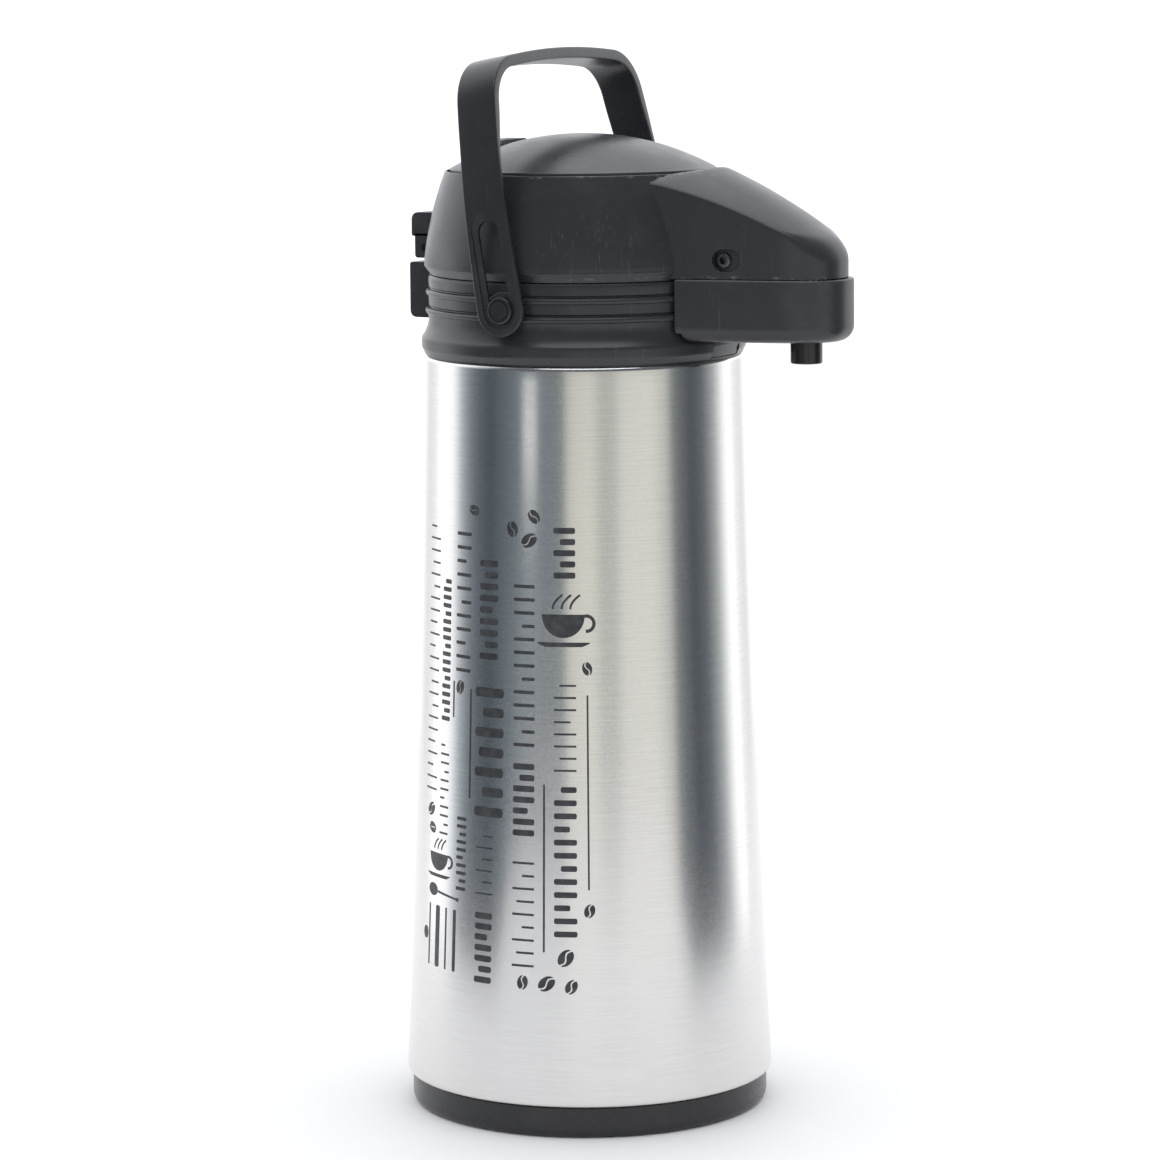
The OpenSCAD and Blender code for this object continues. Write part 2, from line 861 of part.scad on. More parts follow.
module bellows() {
    folds = 5;
    wide = 41;
    narrow = 34;
    wall = 0.8;
    pitch = (bellows_top - bellows_low - 2) / folds;
    zigzag = [
        for (i = [0:folds - 1], k = [0:1])
            [k == 0 ? narrow : wide - 1, bellows_low + 1 + pitch * (i + k / 2)]
    ];
    outside = concat([[wide, bellows_low], [wide, bellows_low + 1]], zigzag,
        [[narrow, bellows_top - 1], [wide, bellows_top - 1], [wide, bellows_top]]);
    inside = concat([[narrow - 2, bellows_low], [narrow - 2, bellows_low + 1]],
        moved(zigzag, [-wall - 0.4, 0]),
        [[narrow - 1.2, bellows_top - 1], [narrow - 2, bellows_top - 1], [narrow - 2, bellows_top]]);
    color(rubber)
    rotate_extrude() polygon(concat(outside, reversed(inside)));
}

module bellows_spring() {
    color(steel)
    helix(25, 0.9, bellows_low + 0.1, bellows_top - 0.1, 5, 6, 20);
}

module pressure_plate() {
    color(natural)
    difference() {
        union() {
            rod_z(42, bellows_top, 361.8, 0, 0);
            intersection() {
                union() {
                    ring(12, 9.6, 361.7, 376);
                    for (a = [180:60:360]) rotate(a) box([11.5, -0.9, 361.7], [36, 0.9, 376]);
                }
                translate([0, 0, pad_centre_z]) sphere(r = pad_dome_r - 2.5);
            }
        }
        rod_z(2, 355, 365, 0, 0);
    }
}

// arms from the pivot up to posts under the front of the pad
module pad_arms() {
    lean = atan((-48 - press_y) / (356 - press_z));
    post = [-49.4, -45.6];
    side = 2.6 * [cos(lean), -sin(lean)];
    way = [tan(lean), 1];
    lower = [press_y, press_z] + side;
    upper = [press_y, press_z] - side;
    both_sides()
        union() {
            rod_x(4, 10.9, 14.1, press_y, press_z);
            translate([12.5, 0, 0])
                across(1.5, [
                    lower, lower + way * (352 - lower[1]), [post[1], 352], [post[1], 364],
                    [post[0], 364], upper + way * (post[0] - upper[0]) / way[0], upper
                ]);
        }
}

lock_y = 34;
lock_half = 14;
lock_floor = 367.5;
lock_top = 374.7;

module pad_cap(thinner, narrower) {
    intersection() {
        translate([0, 0, pad_centre_z]) sphere(r = pad_dome_r - thinner, $fn = 160);
        rod_z(pad_r - narrower, 362.4 - narrower, 380, 0, 0);
    }
}

module push_pad() {
    color(charcoal)
    difference() {
        union() {
            difference() {
                pad_cap(0, 0);
                pad_cap(2.5, 2.2);
            }
            intersection() {
                pad_arms();
                union() {
                    rod_z(pad_r - 0.2, 355, 364, 0, 0);
                    box([-20, -90, 320], [20, -40, 362]);
                }
            }
            // housing of the lock slide
            intersection() {
                box([-lock_half - 2.5, lock_y - 6.8, lock_floor - 2.4],
                    [lock_half + lock_travel + 2.5, lock_y + 6.8, 380]);
                translate([0, 0, pad_centre_z]) sphere(r = pad_dome_r - 1, $fn = 160);
            }
        }
        rod_x(press_pin_r + fit, -30, 30, press_y, press_z);
        box([-lock_half - play, lock_y - 4.4, lock_floor], [lock_half + lock_travel + play, lock_y + 4.4, 380]);
        box([-3.3, lock_y - 2.3, 360], [lock_travel + 3.3, lock_y + 2.3, 370]);
    }
}

module pump_lock_slide() {
    low = lock_floor + 0.1;
    color(charcoal)
    union() {
        intersection() {
            translate([0, lock_y + 4, 0])
                rotate([90, 0, 0])
                    linear_extrude(8)
                        polygon([[-lock_half, low], [lock_half, low], [lock_half, low + 2.2],
                                 [lock_half - 5, lock_top], [-lock_half + 5, lock_top],
                                 [-lock_half, low + 2.2]]);
            across(20, concat([[lock_y - 4, low], [lock_y + 4, low]],
                arc([lock_y + 3, lock_top - 1], 1, 0, 90, 3),
                arc([lock_y - 3, lock_top - 1], 1, 90, 180, 3)));
        }
        box([-3, lock_y - 2, lock_floor - 4], [3, lock_y + 2, low + 1]);
    }
}

base_ring();
bottom_cap();
base_screws();
bottom_cushion();
steel_shell();
flask_outer_glass();
flask_inner_glass();
spacer_pads();
neck_gasket();
collar();
hinge_bracket();
bracket_screws();
hinge_pin();
riser_holder();
riser_tube();
release_button();
release_spring();
handle_pivot_pins();
carry_handle();
lid_shell();
lid_floor();
lid_screws();
stopper_ring();
lid_gasket();
riser_seal();
outlet_pipe();
spout_lower_cover();
spout_screws();
nozzle();
pivot_screws();
bellows_base();
air_valve();
bellows();
bellows_spring();
pressure_plate();
push_pad();
pump_lock_slide();
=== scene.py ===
"""Looks, light and camera for a push-pad vacuum dispenser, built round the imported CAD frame.

Lengths are in millimetres and are turned into metres where a mesh is made. Z is up, the body's
axis is the Z axis, the spout points to -Y and the lid hinge is at +Y.
"""
import math
import json

import bmesh
import bpy
from mathutils import Matrix, Vector


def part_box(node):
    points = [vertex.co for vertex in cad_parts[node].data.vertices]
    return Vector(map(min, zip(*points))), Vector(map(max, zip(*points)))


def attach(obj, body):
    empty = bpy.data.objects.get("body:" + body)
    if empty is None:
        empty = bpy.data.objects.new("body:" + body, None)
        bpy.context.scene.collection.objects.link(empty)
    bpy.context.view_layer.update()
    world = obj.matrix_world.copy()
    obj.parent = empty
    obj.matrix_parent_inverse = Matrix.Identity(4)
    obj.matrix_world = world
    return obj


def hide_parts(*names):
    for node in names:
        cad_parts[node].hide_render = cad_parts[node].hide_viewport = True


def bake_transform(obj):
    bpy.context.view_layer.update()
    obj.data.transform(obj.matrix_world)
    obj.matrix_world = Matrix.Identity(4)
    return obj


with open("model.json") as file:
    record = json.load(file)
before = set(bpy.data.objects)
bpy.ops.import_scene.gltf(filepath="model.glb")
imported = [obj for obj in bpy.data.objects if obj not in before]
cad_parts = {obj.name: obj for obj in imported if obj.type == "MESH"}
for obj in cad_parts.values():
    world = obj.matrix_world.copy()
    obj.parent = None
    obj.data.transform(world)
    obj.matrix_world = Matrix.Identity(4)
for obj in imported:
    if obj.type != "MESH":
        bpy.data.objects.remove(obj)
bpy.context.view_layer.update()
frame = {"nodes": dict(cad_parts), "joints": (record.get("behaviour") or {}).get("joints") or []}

MM = 0.001
DEG = math.pi / 180


def cad(node):
    """The lowest and highest corners of a CAD node, in millimetres."""
    low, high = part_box(node)
    return low / MM, high / MM


# ---------------------------------------------------------------- sizes from the frame

shell_low, shell_high = cad("steel_shell")
ring_high = cad("base_ring")[1]
collar_low, collar_high = cad("collar")
lid_low, lid_high = cad("lid_shell")
cover_low, cover_high = cad("spout_lower_cover")
nozzle_low, nozzle_high = cad("nozzle")
pad_high = cad("push_pad")[1]
lock_low, lock_high = cad("pump_lock_slide")
handle_high = cad("carry_handle")[1]
pins_high = cad("handle_pivot_pins")[1]
bracket_high = cad("hinge_bracket")[1]
screw_high = cad("pivot_screws")[1]
cap_high = cad("bottom_cap")[1]

joints = {j["name"]: j for j in frame["joints"]}
hinge_y, hinge_z = (v / MM for v in joints["lid_hinge"]["pos_m"][1:])
press_y, press_z = (v / MM for v in joints["pad_press"]["pos_m"][1:])
pivot_z = joints["handle_swing"]["pos_m"][2] / MM
slide_axis = joints["handle_slide"]["axis"]
handle_tilt = math.atan2(slide_axis[1], slide_axis[2])


# ---------------------------------------------------------------- outlines

def arc(centre, radius, start, end, steps=6):
    """Points along an arc, with angles in degrees."""
    return [
        (centre[0] + radius * math.cos((start + (end - start) * i / steps) * DEG),
         centre[1] + radius * math.sin((start + (end - start) * i / steps) * DEG))
        for i in range(steps + 1)
    ]


def bow(a, b, rise, steps=24):
    """Points from a to b that bow out by rise, to the right of the way from a to b."""
    dx, dy = b[0] - a[0], b[1] - a[1]
    length = math.hypot(dx, dy)
    points = []
    for i in range(steps + 1):
        t = i / steps
        out = 4 * rise * t * (1 - t) / length
        points.append((a[0] + dx * t + dy * out, a[1] + dy * t - dx * out))
    return points


def rounded(points, radius, steps=4, closed=False):
    """The outline with each corner that turns by over 20 degrees rounded off.

    radius is one number, or a list with one for each point.
    """
    count = len(points)
    radii = radius if isinstance(radius, (list, tuple)) else [radius] * count
    result = []
    for i, p in enumerate(points):
        p = Vector(p)
        if not closed and i in (0, count - 1):
            result.append(tuple(p))
            continue
        before = Vector(points[i - 1]) - p
        after = Vector(points[(i + 1) % count]) - p
        if before.length < 1e-6 or after.length < 1e-6:
            continue
        angle = before.angle(after)
        if angle > 160 * DEG or radii[i] <= 0:
            result.append(tuple(p))
            continue
        reach = min(radii[i] / math.tan(angle / 2), before.length * 0.48, after.length * 0.48)
        start = p + before.normalized() * reach
        end = p + after.normalized() * reach
        for k in range(steps + 1):
            t = k / steps
            result.append(tuple(start * (1 - t) ** 2 + p * 2 * t * (1 - t) + end * t ** 2))
    return result


# ---------------------------------------------------------------- meshes

def piece_from(name, vertices, faces, sharp=32):
    """An object from vertices in millimetres, smooth except where faces meet at over sharp degrees."""
    mesh = bpy.data.meshes.new(name)
    mesh.from_pydata([Vector(v) * MM for v in vertices], [], faces)
    obj = bpy.data.objects.new(name, mesh)
    bpy.context.scene.collection.objects.link(obj)
    clean(obj)
    shade(obj, sharp)
    return obj


def clean(obj, merge=1e-7):
    """Joins doubled vertices, drops empty faces and turns every face outwards."""
    bm = bmesh.new()
    bm.from_mesh(obj.data)
    bmesh.ops.remove_doubles(bm, verts=bm.verts, dist=merge)
    bmesh.ops.dissolve_degenerate(bm, edges=bm.edges, dist=merge)
    bmesh.ops.recalc_face_normals(bm, faces=bm.faces)
    bm.to_mesh(obj.data)
    bm.free()


def shade(obj, sharp=32):
    obj.data.shade_smooth()
    obj.data.set_sharp_from_angle(angle=sharp * DEG)


def apply_modifiers(obj):
    """Bakes an object's modifiers into its mesh."""
    graph = bpy.context.evaluated_depsgraph_get()
    mesh = bpy.data.meshes.new_from_object(obj.evaluated_get(graph))
    old = obj.data
    obj.modifiers.clear()
    obj.data = mesh
    bpy.data.meshes.remove(old)


def combine(obj, others, operation):
    """Unites, cuts or intersects obj with the others, which are used up."""
    for other in others:
        modifier = obj.modifiers.new("combine", "BOOLEAN")
        modifier.operation = operation
        modifier.solver = "EXACT"
        modifier.object = other
    bpy.context.view_layer.update()
    apply_modifiers(obj)
    for other in others:
        mesh = other.data
        bpy.data.objects.remove(other)
        bpy.data.meshes.remove(mesh)
    return obj


def bevel(obj, width, angle=40, segments=2):
    """Rounds the edges where faces meet at over angle degrees."""
    modifier = obj.modifiers.new("bevel", "BEVEL")
    modifier.width = width * MM
    modifier.segments = segments
    modifier.limit_method = "ANGLE"
    modifier.angle_limit = angle * DEG
    modifier.use_clamp_overlap = True
    modifier.miter_outer = "MITER_ARC"
    bpy.context.view_layer.update()
    apply_modifiers(obj)
    return obj


def lathe(name, profile, segments=192, sharp=32):
    """A closed outline of (radius, height) turned about the Z axis."""
    vertices = []
    for k in range(segments):
        c, s = math.cos(2 * math.pi * k / segments), math.sin(2 * math.pi * k / segments)
        vertices += [(r * c, r * s, z) for r, z in profile]
    n = len(profile)
    faces = []
    for k in range(segments):
        m = (k + 1) % segments
        for i in range(n):
            j = (i + 1) % n
            if profile[i][0] < 1e-6 and profile[j][0] < 1e-6:
                continue
            faces.append((k * n + i, m * n + i, m * n + j, k * n + j))
    return piece_from(name, vertices, faces, sharp)


def turned_x(name, profile, y, z, sign=1, segments=64):
    """A lathe shape whose axis lies along X, with profile points of (radius, distance along X)."""
    obj = lathe(name, profile, segments)
    turn = Matrix(((0, 0, sign), (0, 1, 0), (-sign, 0, 0))).to_4x4()
    obj.data.transform(Matrix.Translation((0, y * MM, z * MM)) @ turn)
    clean(obj)
    return obj


def loft(name, loops, sharp=32, caps=True):
    """Rings of equal length joined by quads, with the first and last ring closed by a face."""
    n = len(loops[0])
    vertices = [p for ring in loops for p in ring]
    faces = []
    for i in range(len(loops) - 1):
        for k in range(n):
            m = (k + 1) % n
            faces.append((i * n + k, i * n + m, (i + 1) * n + m, (i + 1) * n + k))
    if caps:
        faces.append(tuple(range(n - 1, -1, -1)))
        faces.append(tuple(range((len(loops) - 1) * n, len(loops) * n)))
    return piece_from(name, vertices, faces, sharp)


def slab(name, outline, low, high, axis="z"):
    """A flat outline extruded along an axis: (x, y) along z, (y, z) along x or (x, z) along y."""
    place = {
        "z": lambda p, h: (p[0], p[1], h),
        "x": lambda p, h: (h, p[0], p[1]),
        "y": lambda p, h: (p[0], h, p[1]),
    }[axis]
    return loft(name, [[place(p, low) for p in outline], [place(p, high) for p in outline]])


def block(name, low, high):
    outline = [(low[0], low[1]), (high[0], low[1]), (high[0], high[1]), (low[0], high[1])]
    return slab(name, outline, low[2], high[2])


def cylinder(name, radius, low, high, at=(0, 0), axis="z", segments=96):
    circle = [
        (at[0] + radius * math.cos(2 * math.pi * k / segments),
         at[1] + radius * math.sin(2 * math.pi * k / segments))
        for k in range(segments)
    ]
    return slab(name, circle, low, high, axis)


def span(side, inner, outer):
    """The range along X from inner to outer on one side of the middle, as (low, high)."""
    return (inner, outer) if side > 0 else (-outer, -inner)


def whole(half):
    """A full plan from its +X half, which starts at the root and ends at the nose."""
    return half + [(-x, y) for x, y in reversed(half[:-1])]


def stadium(radius, low, high, steps=16):
    """An upright slot outline in (y, z) between the end centres z = low and z = high."""
    return arc((0, high), radius, 0, 180, steps) + arc((0, low), radius, 180, 360, steps)


def join(name, objects):
    """One object from several; their surfaces stay as they are."""
    vertices, faces = [], []
    for obj in objects:
        start = len(vertices)
        vertices += [v.co / MM for v in obj.data.vertices]
        faces += [tuple(start + i for i in p.vertices) for p in obj.data.polygons]
        mesh = obj.data
        bpy.data.objects.remove(obj)
        bpy.data.meshes.remove(mesh)
    mesh = bpy.data.meshes.new(name)
    mesh.from_pydata([v * MM for v in vertices], [], faces)
    obj = bpy.data.objects.new(name, mesh)
    bpy.context.scene.collection.objects.link(obj)
    return obj


# ---------------------------------------------------------------- materials

class Nodes:
    """A small helper that adds and links shader nodes in one material."""

    def __init__(self, name):
        self.material = bpy.data.materials.new(name)
        self.material.use_nodes = True
        self.tree = self.material.node_tree
        self.shader = self.tree.nodes["Principled BSDF"]
        self.place = self.add("ShaderNodeTexCoord").outputs["Object"]

    def add(self, kind, **inputs):
        node = self.tree.nodes.new(kind)
        for key, value in inputs.items():
            self.put(node.inputs[key.replace("_", " ")], value)
        return node

    def put(self, socket, value):
        if isinstance(value, bpy.types.NodeSocket):
            self.tree.links.new(value, socket)
        else:
            socket.default_value = value

    def math(self, operation, a, b=0.0, clamp=False):
        node = self.tree.nodes.new("ShaderNodeMath")
        node.operation = operation
        node.use_clamp = clamp
        self.put(node.inputs[0], a)
        self.put(node.inputs[1], b)
        return node.outputs[0]

    def stretched(self, scale, rotation=(0, 0, 0)):
        node = self.add("ShaderNodeMapping")
        node.inputs["Scale"].default_value = scale
        node.inputs["Rotation"].default_value = rotation
        self.put(node.inputs["Vector"], self.place)
        return node.outputs["Vector"]

    def noise(self, scale, detail=3.0, rough=0.5, vector=None, distortion=0.0):
        node = self.add("ShaderNodeTexNoise", Scale=scale, Detail=detail, Roughness=rough,
                        Distortion=distortion)
        self.put(node.inputs["Vector"], vector if vector is not None else self.place)
        return node.outputs["Fac"]

    def remap(self, value, from_low, from_high, to_low, to_high):
        node = self.add("ShaderNodeMapRange")
        for key, v in (("Value", value), ("From Min", from_low), ("From Max", from_high),
                       ("To Min", to_low), ("To Max", to_high)):
            self.put(node.inputs[key], v)
        return node.outputs["Result"]

    def mix(self, factor, a, b):
        node = self.tree.nodes.new("ShaderNodeMix")
        node.data_type = "RGBA"
        self.put(node.inputs["Factor"], factor)
        self.put(node.inputs["A"], a if isinstance(a, bpy.types.NodeSocket) else (*a, 1))
        self.put(node.inputs["B"], b if isinstance(b, bpy.types.NodeSocket) else (*b, 1))
        return node.outputs["Result"]

    def bump(self, height, depth, strength=1.0, after=None):
        node = self.add("ShaderNodeBump", Strength=strength, Distance=depth * MM, Height=height)
        if after is not None:
            self.put(node.inputs["Normal"], after)
        return node.outputs["Normal"]

    def finish(self, colour, roughness, normal=None, **constants):
        self.put(self.shader.inputs["Base Color"], colour)
        self.put(self.shader.inputs["Roughness"], roughness)
        if normal is not None:
            self.put(self.shader.inputs["Normal"], normal)
        for key, value in constants.items():
            self.shader.inputs[key.replace("_", " ")].default_value = value
        return self.material


def scratches(n, amount, seed, flat=False):
    """A mask of thin, sparse scratches: slanting down a wall, or across a flat top."""
    total = None
    slants = ((0, 0, 0.4), (0, 0, 1.3), (0, 0, 2.2)) if flat else ((0.7, 0, 0), (0, 0.6, 0), (-0.5, 0.4, 0))
    for i, turn in enumerate(slants):
        along = 22 + 7 * i + seed
        scale = (along, 1500, 1500) if flat else (1500, 1500, along)
        lines = n.noise(1.0, 1.0, 0.4, n.stretched(scale, turn), 0.2)
        patches = n.noise(24 + 5 * i + seed, 2.0)
        mask = n.math("MULTIPLY", n.remap(lines, 0.68, 0.73, 0, 1), n.remap(patches, 0.52, 0.68, 0, 1))
        total = mask if total is None else n.math("ADD", total, mask, clamp=True)
    return n.math("MULTIPLY", total, amount)


def moulded(name, colour, roughness, grain=0.02, wear=0.25, seed=0.0, edges=(), flat=False, **constants):
    """Moulded plastic: fine spark-eroded grain, faint flow marks, rubbed patches and scratches.

    edges are heights in millimetres where the piece has an edge that gets chipped and rubbed.
    """
    n = Nodes(name)
    flow = n.noise(18 + seed, 4.0, 0.55)
    rubbed = n.noise(55 + seed, 5.0, 0.6)
    fine = n.noise(2600, 2.0, 0.6)
    scuffs = scratches(n, wear, seed, flat)
    if edges:
        height = n.add("ShaderNodeSeparateXYZ", Vector=n.place).outputs["Z"]
        chips = n.remap(n.noise(330, 3.0, 0.6), 0.56, 0.64, 0, 2 * wear)
        for edge in edges:
            away = n.math("ABSOLUTE", n.math("SUBTRACT", height, edge * MM))
            near = n.remap(away, 0.0004, 0.0009, 1, 0)
            scuffs = n.math("MAXIMUM", scuffs, n.math("MULTIPLY", near, chips))
    light = tuple(min(1, c * 1.5 + 0.012) for c in colour)
    dark = tuple(c * 0.82 for c in colour)
    worn = tuple(min(1, c * 3 + 0.05) for c in colour)
    base = n.mix(n.remap(flow, 0.3, 0.7, 0, 1), dark, colour)
    base = n.mix(n.remap(rubbed, 0.55, 0.8, 0, 0.35), base, light)
    base = n.mix(scuffs, base, worn)
    rough = n.math("ADD", n.remap(rubbed, 0.3, 0.75, roughness + 0.05, roughness - 0.06),
                   n.remap(fine, 0.3, 0.7, -0.03, 0.03))
    normal = n.bump(fine, grain, 0.6)
    normal = n.bump(flow, 0.08, 0.12, normal)
    return n.finish(base, rough, normal, **constants)


def satin_steel(name):
    """Rolled stainless sheet: fine streaks round the body over a soft speckle."""
    n = Nodes(name)
    parts = n.add("ShaderNodeSeparateXYZ", Vector=n.place)
    around = n.math("ARCTAN2", parts.outputs["Y"], parts.outputs["X"])
    streak_place = n.add("ShaderNodeCombineXYZ",
                         X=n.math("MULTIPLY", around, 3.0),
                         Y=n.math("MULTIPLY", parts.outputs["Z"], 1500.0)).outputs["Vector"]
    streaks = n.noise(1.0, 4.0, 0.6, streak_place)
    speckle = n.noise(1300, 3.0, 0.7)
    cloud = n.noise(22, 4.0, 0.6)
    tone = n.math("ADD", n.remap(streaks, 0.3, 0.7, -0.5, 0.5), n.remap(speckle, 0.3, 0.7, -0.5, 0.5))
    colour = n.mix(n.remap(tone, -1, 1, 0, 1), (0.66, 0.65, 0.635), (0.785, 0.775, 0.76))
    rough = n.math("ADD", n.remap(cloud, 0.3, 0.7, 0.165, 0.195), n.remap(speckle, 0.3, 0.7, -0.03, 0.04))
    normal = n.bump(speckle, 0.012, 0.35)
    normal = n.bump(streaks, 0.006, 0.3, normal)
    tangent = n.add("ShaderNodeTangent")
    tangent.direction_type = "RADIAL"
    tangent.axis = "Z"
    n.put(n.shader.inputs["Tangent"], tangent.outputs["Tangent"])
    return n.finish(colour, rough, normal, Metallic=1.0, Anisotropic=0.15, Anisotropic_Rotation=0.25)


def plated(name, colour, roughness=0.32):
    """Small plated steel parts with a faint drawn grain and dull spots."""
    n = Nodes(name)
    spots = n.noise(420, 4.0, 0.6)
    grain = n.noise(1.0, 3.0, 0.5, n.stretched((500, 500, 2500)))
    base = n.mix(n.remap(spots, 0.35, 0.7, 0, 1), colour, tuple(c * 0.72 for c in colour))
    rough = n.remap(spots, 0.3, 0.7, roughness - 0.06, roughness + 0.12)
    return n.finish(base, rough, n.bump(grain, 0.01, 0.4), Metallic=1.0)


def glass_wall(name):
    """Silvered vacuum glass: a mirror coat with faint clouding and pinholes."""
    n = Nodes(name)
    cloud = n.noise(35, 4.0, 0.6)
    pinholes = n.noise(900, 1.0, 0.4)
    base = n.mix(n.remap(pinholes, 0.72, 0.76, 0, 0.6), (0.82, 0.84, 0.85), (0.30, 0.31, 0.32))
    base = n.mix(n.remap(cloud, 0.4, 0.7, 0, 0.25), base, (0.70, 0.72, 0.74))
    rough = n.remap(cloud, 0.3, 0.7, 0.05, 0.14)
    return n.finish(base, rough, n.bump(cloud, 0.05, 0.3), Metallic=0.9)


def pressed_felt(name, colour):
    n = Nodes(name)
    fibres = n.noise(1.0, 5.0, 0.7, n.stretched((1400, 500, 900)))
    base = n.mix(n.remap(fibres, 0.3, 0.7, 0, 1), tuple(c * 0.75 for c in colour), colour)
    return n.finish(base, n.remap(fibres, 0.3, 0.7, 0.85, 0.97), n.bump(fibres, 0.2, 0.7))


def screen_ink(name):
    """Dark printing ink with slight mottling and a rubbed film."""
    n = Nodes(name)
    mottle = n.noise(320, 4.0, 0.65)
    rub = n.noise(30, 4.0, 0.6)
    base = n.mix(n.remap(mottle, 0.35, 0.75, 0, 1), (0.012, 0.012, 0.014), (0.035, 0.035, 0.038))
    rough = n.remap(rub, 0.3, 0.7, 0.38, 0.52)
    return n.finish(base, rough, n.bump(mottle, 0.01, 0.4))


CHARCOAL = (0.0155, 0.0162, 0.018)
lid_plastic = moulded("charcoal_lid", CHARCOAL, 0.31, wear=0.22, edges=(lid_low.z + 1.2, 363.2))
body_plastic = moulded("charcoal_collar", CHARCOAL, 0.31, wear=0.14, seed=3)
handle_plastic = moulded("charcoal_handle", (0.0140, 0.0146, 0.0165), 0.28, wear=0.2, seed=5)
pad_plastic = moulded("charcoal_pad", (0.0165, 0.0172, 0.0195), 0.30, wear=0.2, seed=7, flat=True)
base_plastic = moulded("black_base", (0.0085, 0.0085, 0.0092), 0.27, grain=0.01, wear=0.12, seed=9)
pin_plastic = moulded("dark_pin", (0.0110, 0.0112, 0.0122), 0.30, grain=0.008, wear=0.15, seed=11)
nozzle_plastic = moulded("black_nozzle", (0.0070, 0.0070, 0.0078), 0.22, grain=0.006, wear=0.1, seed=13)
natural_plastic = moulded("natural_plastic", (0.74, 0.73, 0.68), 0.38, grain=0.01, wear=0.05, seed=2)
grey_rubber = moulded("grey_rubber", (0.16, 0.16, 0.165), 0.68, grain=0.03, wear=0.05, seed=4)
bellows_rubber = moulded("bellows_rubber", (0.055, 0.055, 0.055), 0.60, grain=0.02, wear=0.05, seed=6)
steel_sheet = satin_steel("satin_steel")
screw_metal = plated("zinc_plate", (0.56, 0.57, 0.59))
dark_screw = plated("dull_zinc_plate", (0.17, 0.17, 0.175), 0.40)
dark_pin = plated("blackened_pin", (0.035, 0.036, 0.038), 0.42)
spring_metal = plated("spring_wire", (0.62, 0.62, 0.63), 0.25)
silvered_glass = glass_wall("silvered_glass")
felt = pressed_felt("spacer_felt", (0.55, 0.50, 0.42))
ink = screen_ink("print_ink")


def dress(obj, material, slot, body, *nodes):
    """Gives a new piece its material and the body that it rides on; slot is not used."""
    obj.data.materials.clear()
    obj.data.materials.append(material)
    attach(obj, body)
    if nodes:
        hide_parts(*nodes)
    return obj


# ---------------------------------------------------------------- steel shell and base

FLANK_SAG = 1.1
SHEET = 0.6
foot_z = shell_low.z + 1.9
foot_r = shell_high.x
top_r = 61.5


def shell_radius(z):
    """The shell's outer radius at height z: a cone that curves in slightly."""
    u = (shell_high.z - z) / (shell_high.z - foot_z)
    return top_r + (foot_r - top_r) * u - 4 * FLANK_SAG * u * (1 - u)


def build_shell():
    steps = 64
    flank = []
    for i in range(steps + 1):
        z = foot_z + 0.6 + (shell_high.z - 2.2 - foot_z - 0.6) * i / steps
        flank.append((shell_radius(z), z))
    turn_in = shell_radius(shell_high.z - 2.2)
    flank += arc((turn_in - 1.9, shell_high.z - 2.2), 1.9, 10, 62, 7)
    rolled = arc((foot_r - 1.75, foot_z + 0.1), 1.75, -78, 0, 8)
    outside = [(foot_r - 2.6, shell_low.z)] + rolled + flank
    outside = [(min(r, foot_r), max(z, shell_low.z)) for r, z in outside]
    inside = [(r - SHEET, z) for r, z in reversed(outside)]
    inside[-1] = (foot_r - 2.6, shell_low.z + 0.5)
    shell = lathe("steel_body", outside + inside, 288, 40)
    dress(shell, steel_sheet, "steel_shell", "flask_body", "steel_shell")


def build_base_ring():
    r, top = ring_high.x, shell_low.z
    profile = rounded(
        [(61.3, 0), (r, 0), (r, top - 0.1), (r - 0.6, top - 0.1), (r - 0.6, ring_high.z),
         (66.3, ring_high.z), (66.3, 6.2), (50, 6.2), (50, 3.2), (61.3, 3.2)],
        [0.3, 4.5, 0.5, 0.2, 0.4, 0.4, 0.8, 0.4, 0.3, 0.3], 8, closed=True)
    ring = lathe("base_foot_ring", profile, 224)
    dress(ring, base_plastic, "base_plastic", "flask_body", "base_ring")


def build_bottom_cap():
    """The turned cap under the base, with grip dimples, three screw holes and a raised rib."""
    r = cap_high.x
    profile = rounded(
        [(0, 0), (20, 0), (20.6, 0.5), (22.4, 0.5), (23, 0), (r, 0), (r, 3), (44, 3), (44, 6),
         (42, 6), (42, 3), (28, 3), (28, cap_high.z), (24, cap_high.z), (24, 3), (0, 3)],
        [0, 0, 0.2, 0.2, 0, 0.4, 0.4, 0.3, 0.3, 0.3, 0.3, 0.3, 0.3, 0.3, 0.3, 0], 3, closed=True)
    cap = lathe("underside_cap", profile, 160)
    cutters = []
    for i in range(12):
        a = math.radians(30 * i)
        cutters.append(cylinder("dimple", 1.6, -1, 0.9, (34 * math.cos(a), 34 * math.sin(a)), segments=24))
    for i in range(3):
        a = math.radians(120 * i + 30)
        at = (55.5 * math.cos(a), 55.5 * math.sin(a))
        cutters.append(cylinder("screw_hole", 1.5, -1, 4, at, segments=32))
        cutters.append(cylinder("head_hole", 3.1, -1, 2.2, at, segments=40))
    combine(cap, [join("cap_cutters", cutters)], "DIFFERENCE")
    shade(cap)
    dress(cap, base_plastic, "base_plastic", "flask_body", "bottom_cap")


# ---------------------------------------------------------------- collar

NECK_R = 59.7
flange_r = collar_high.x
SEAM_Z = collar_high.z


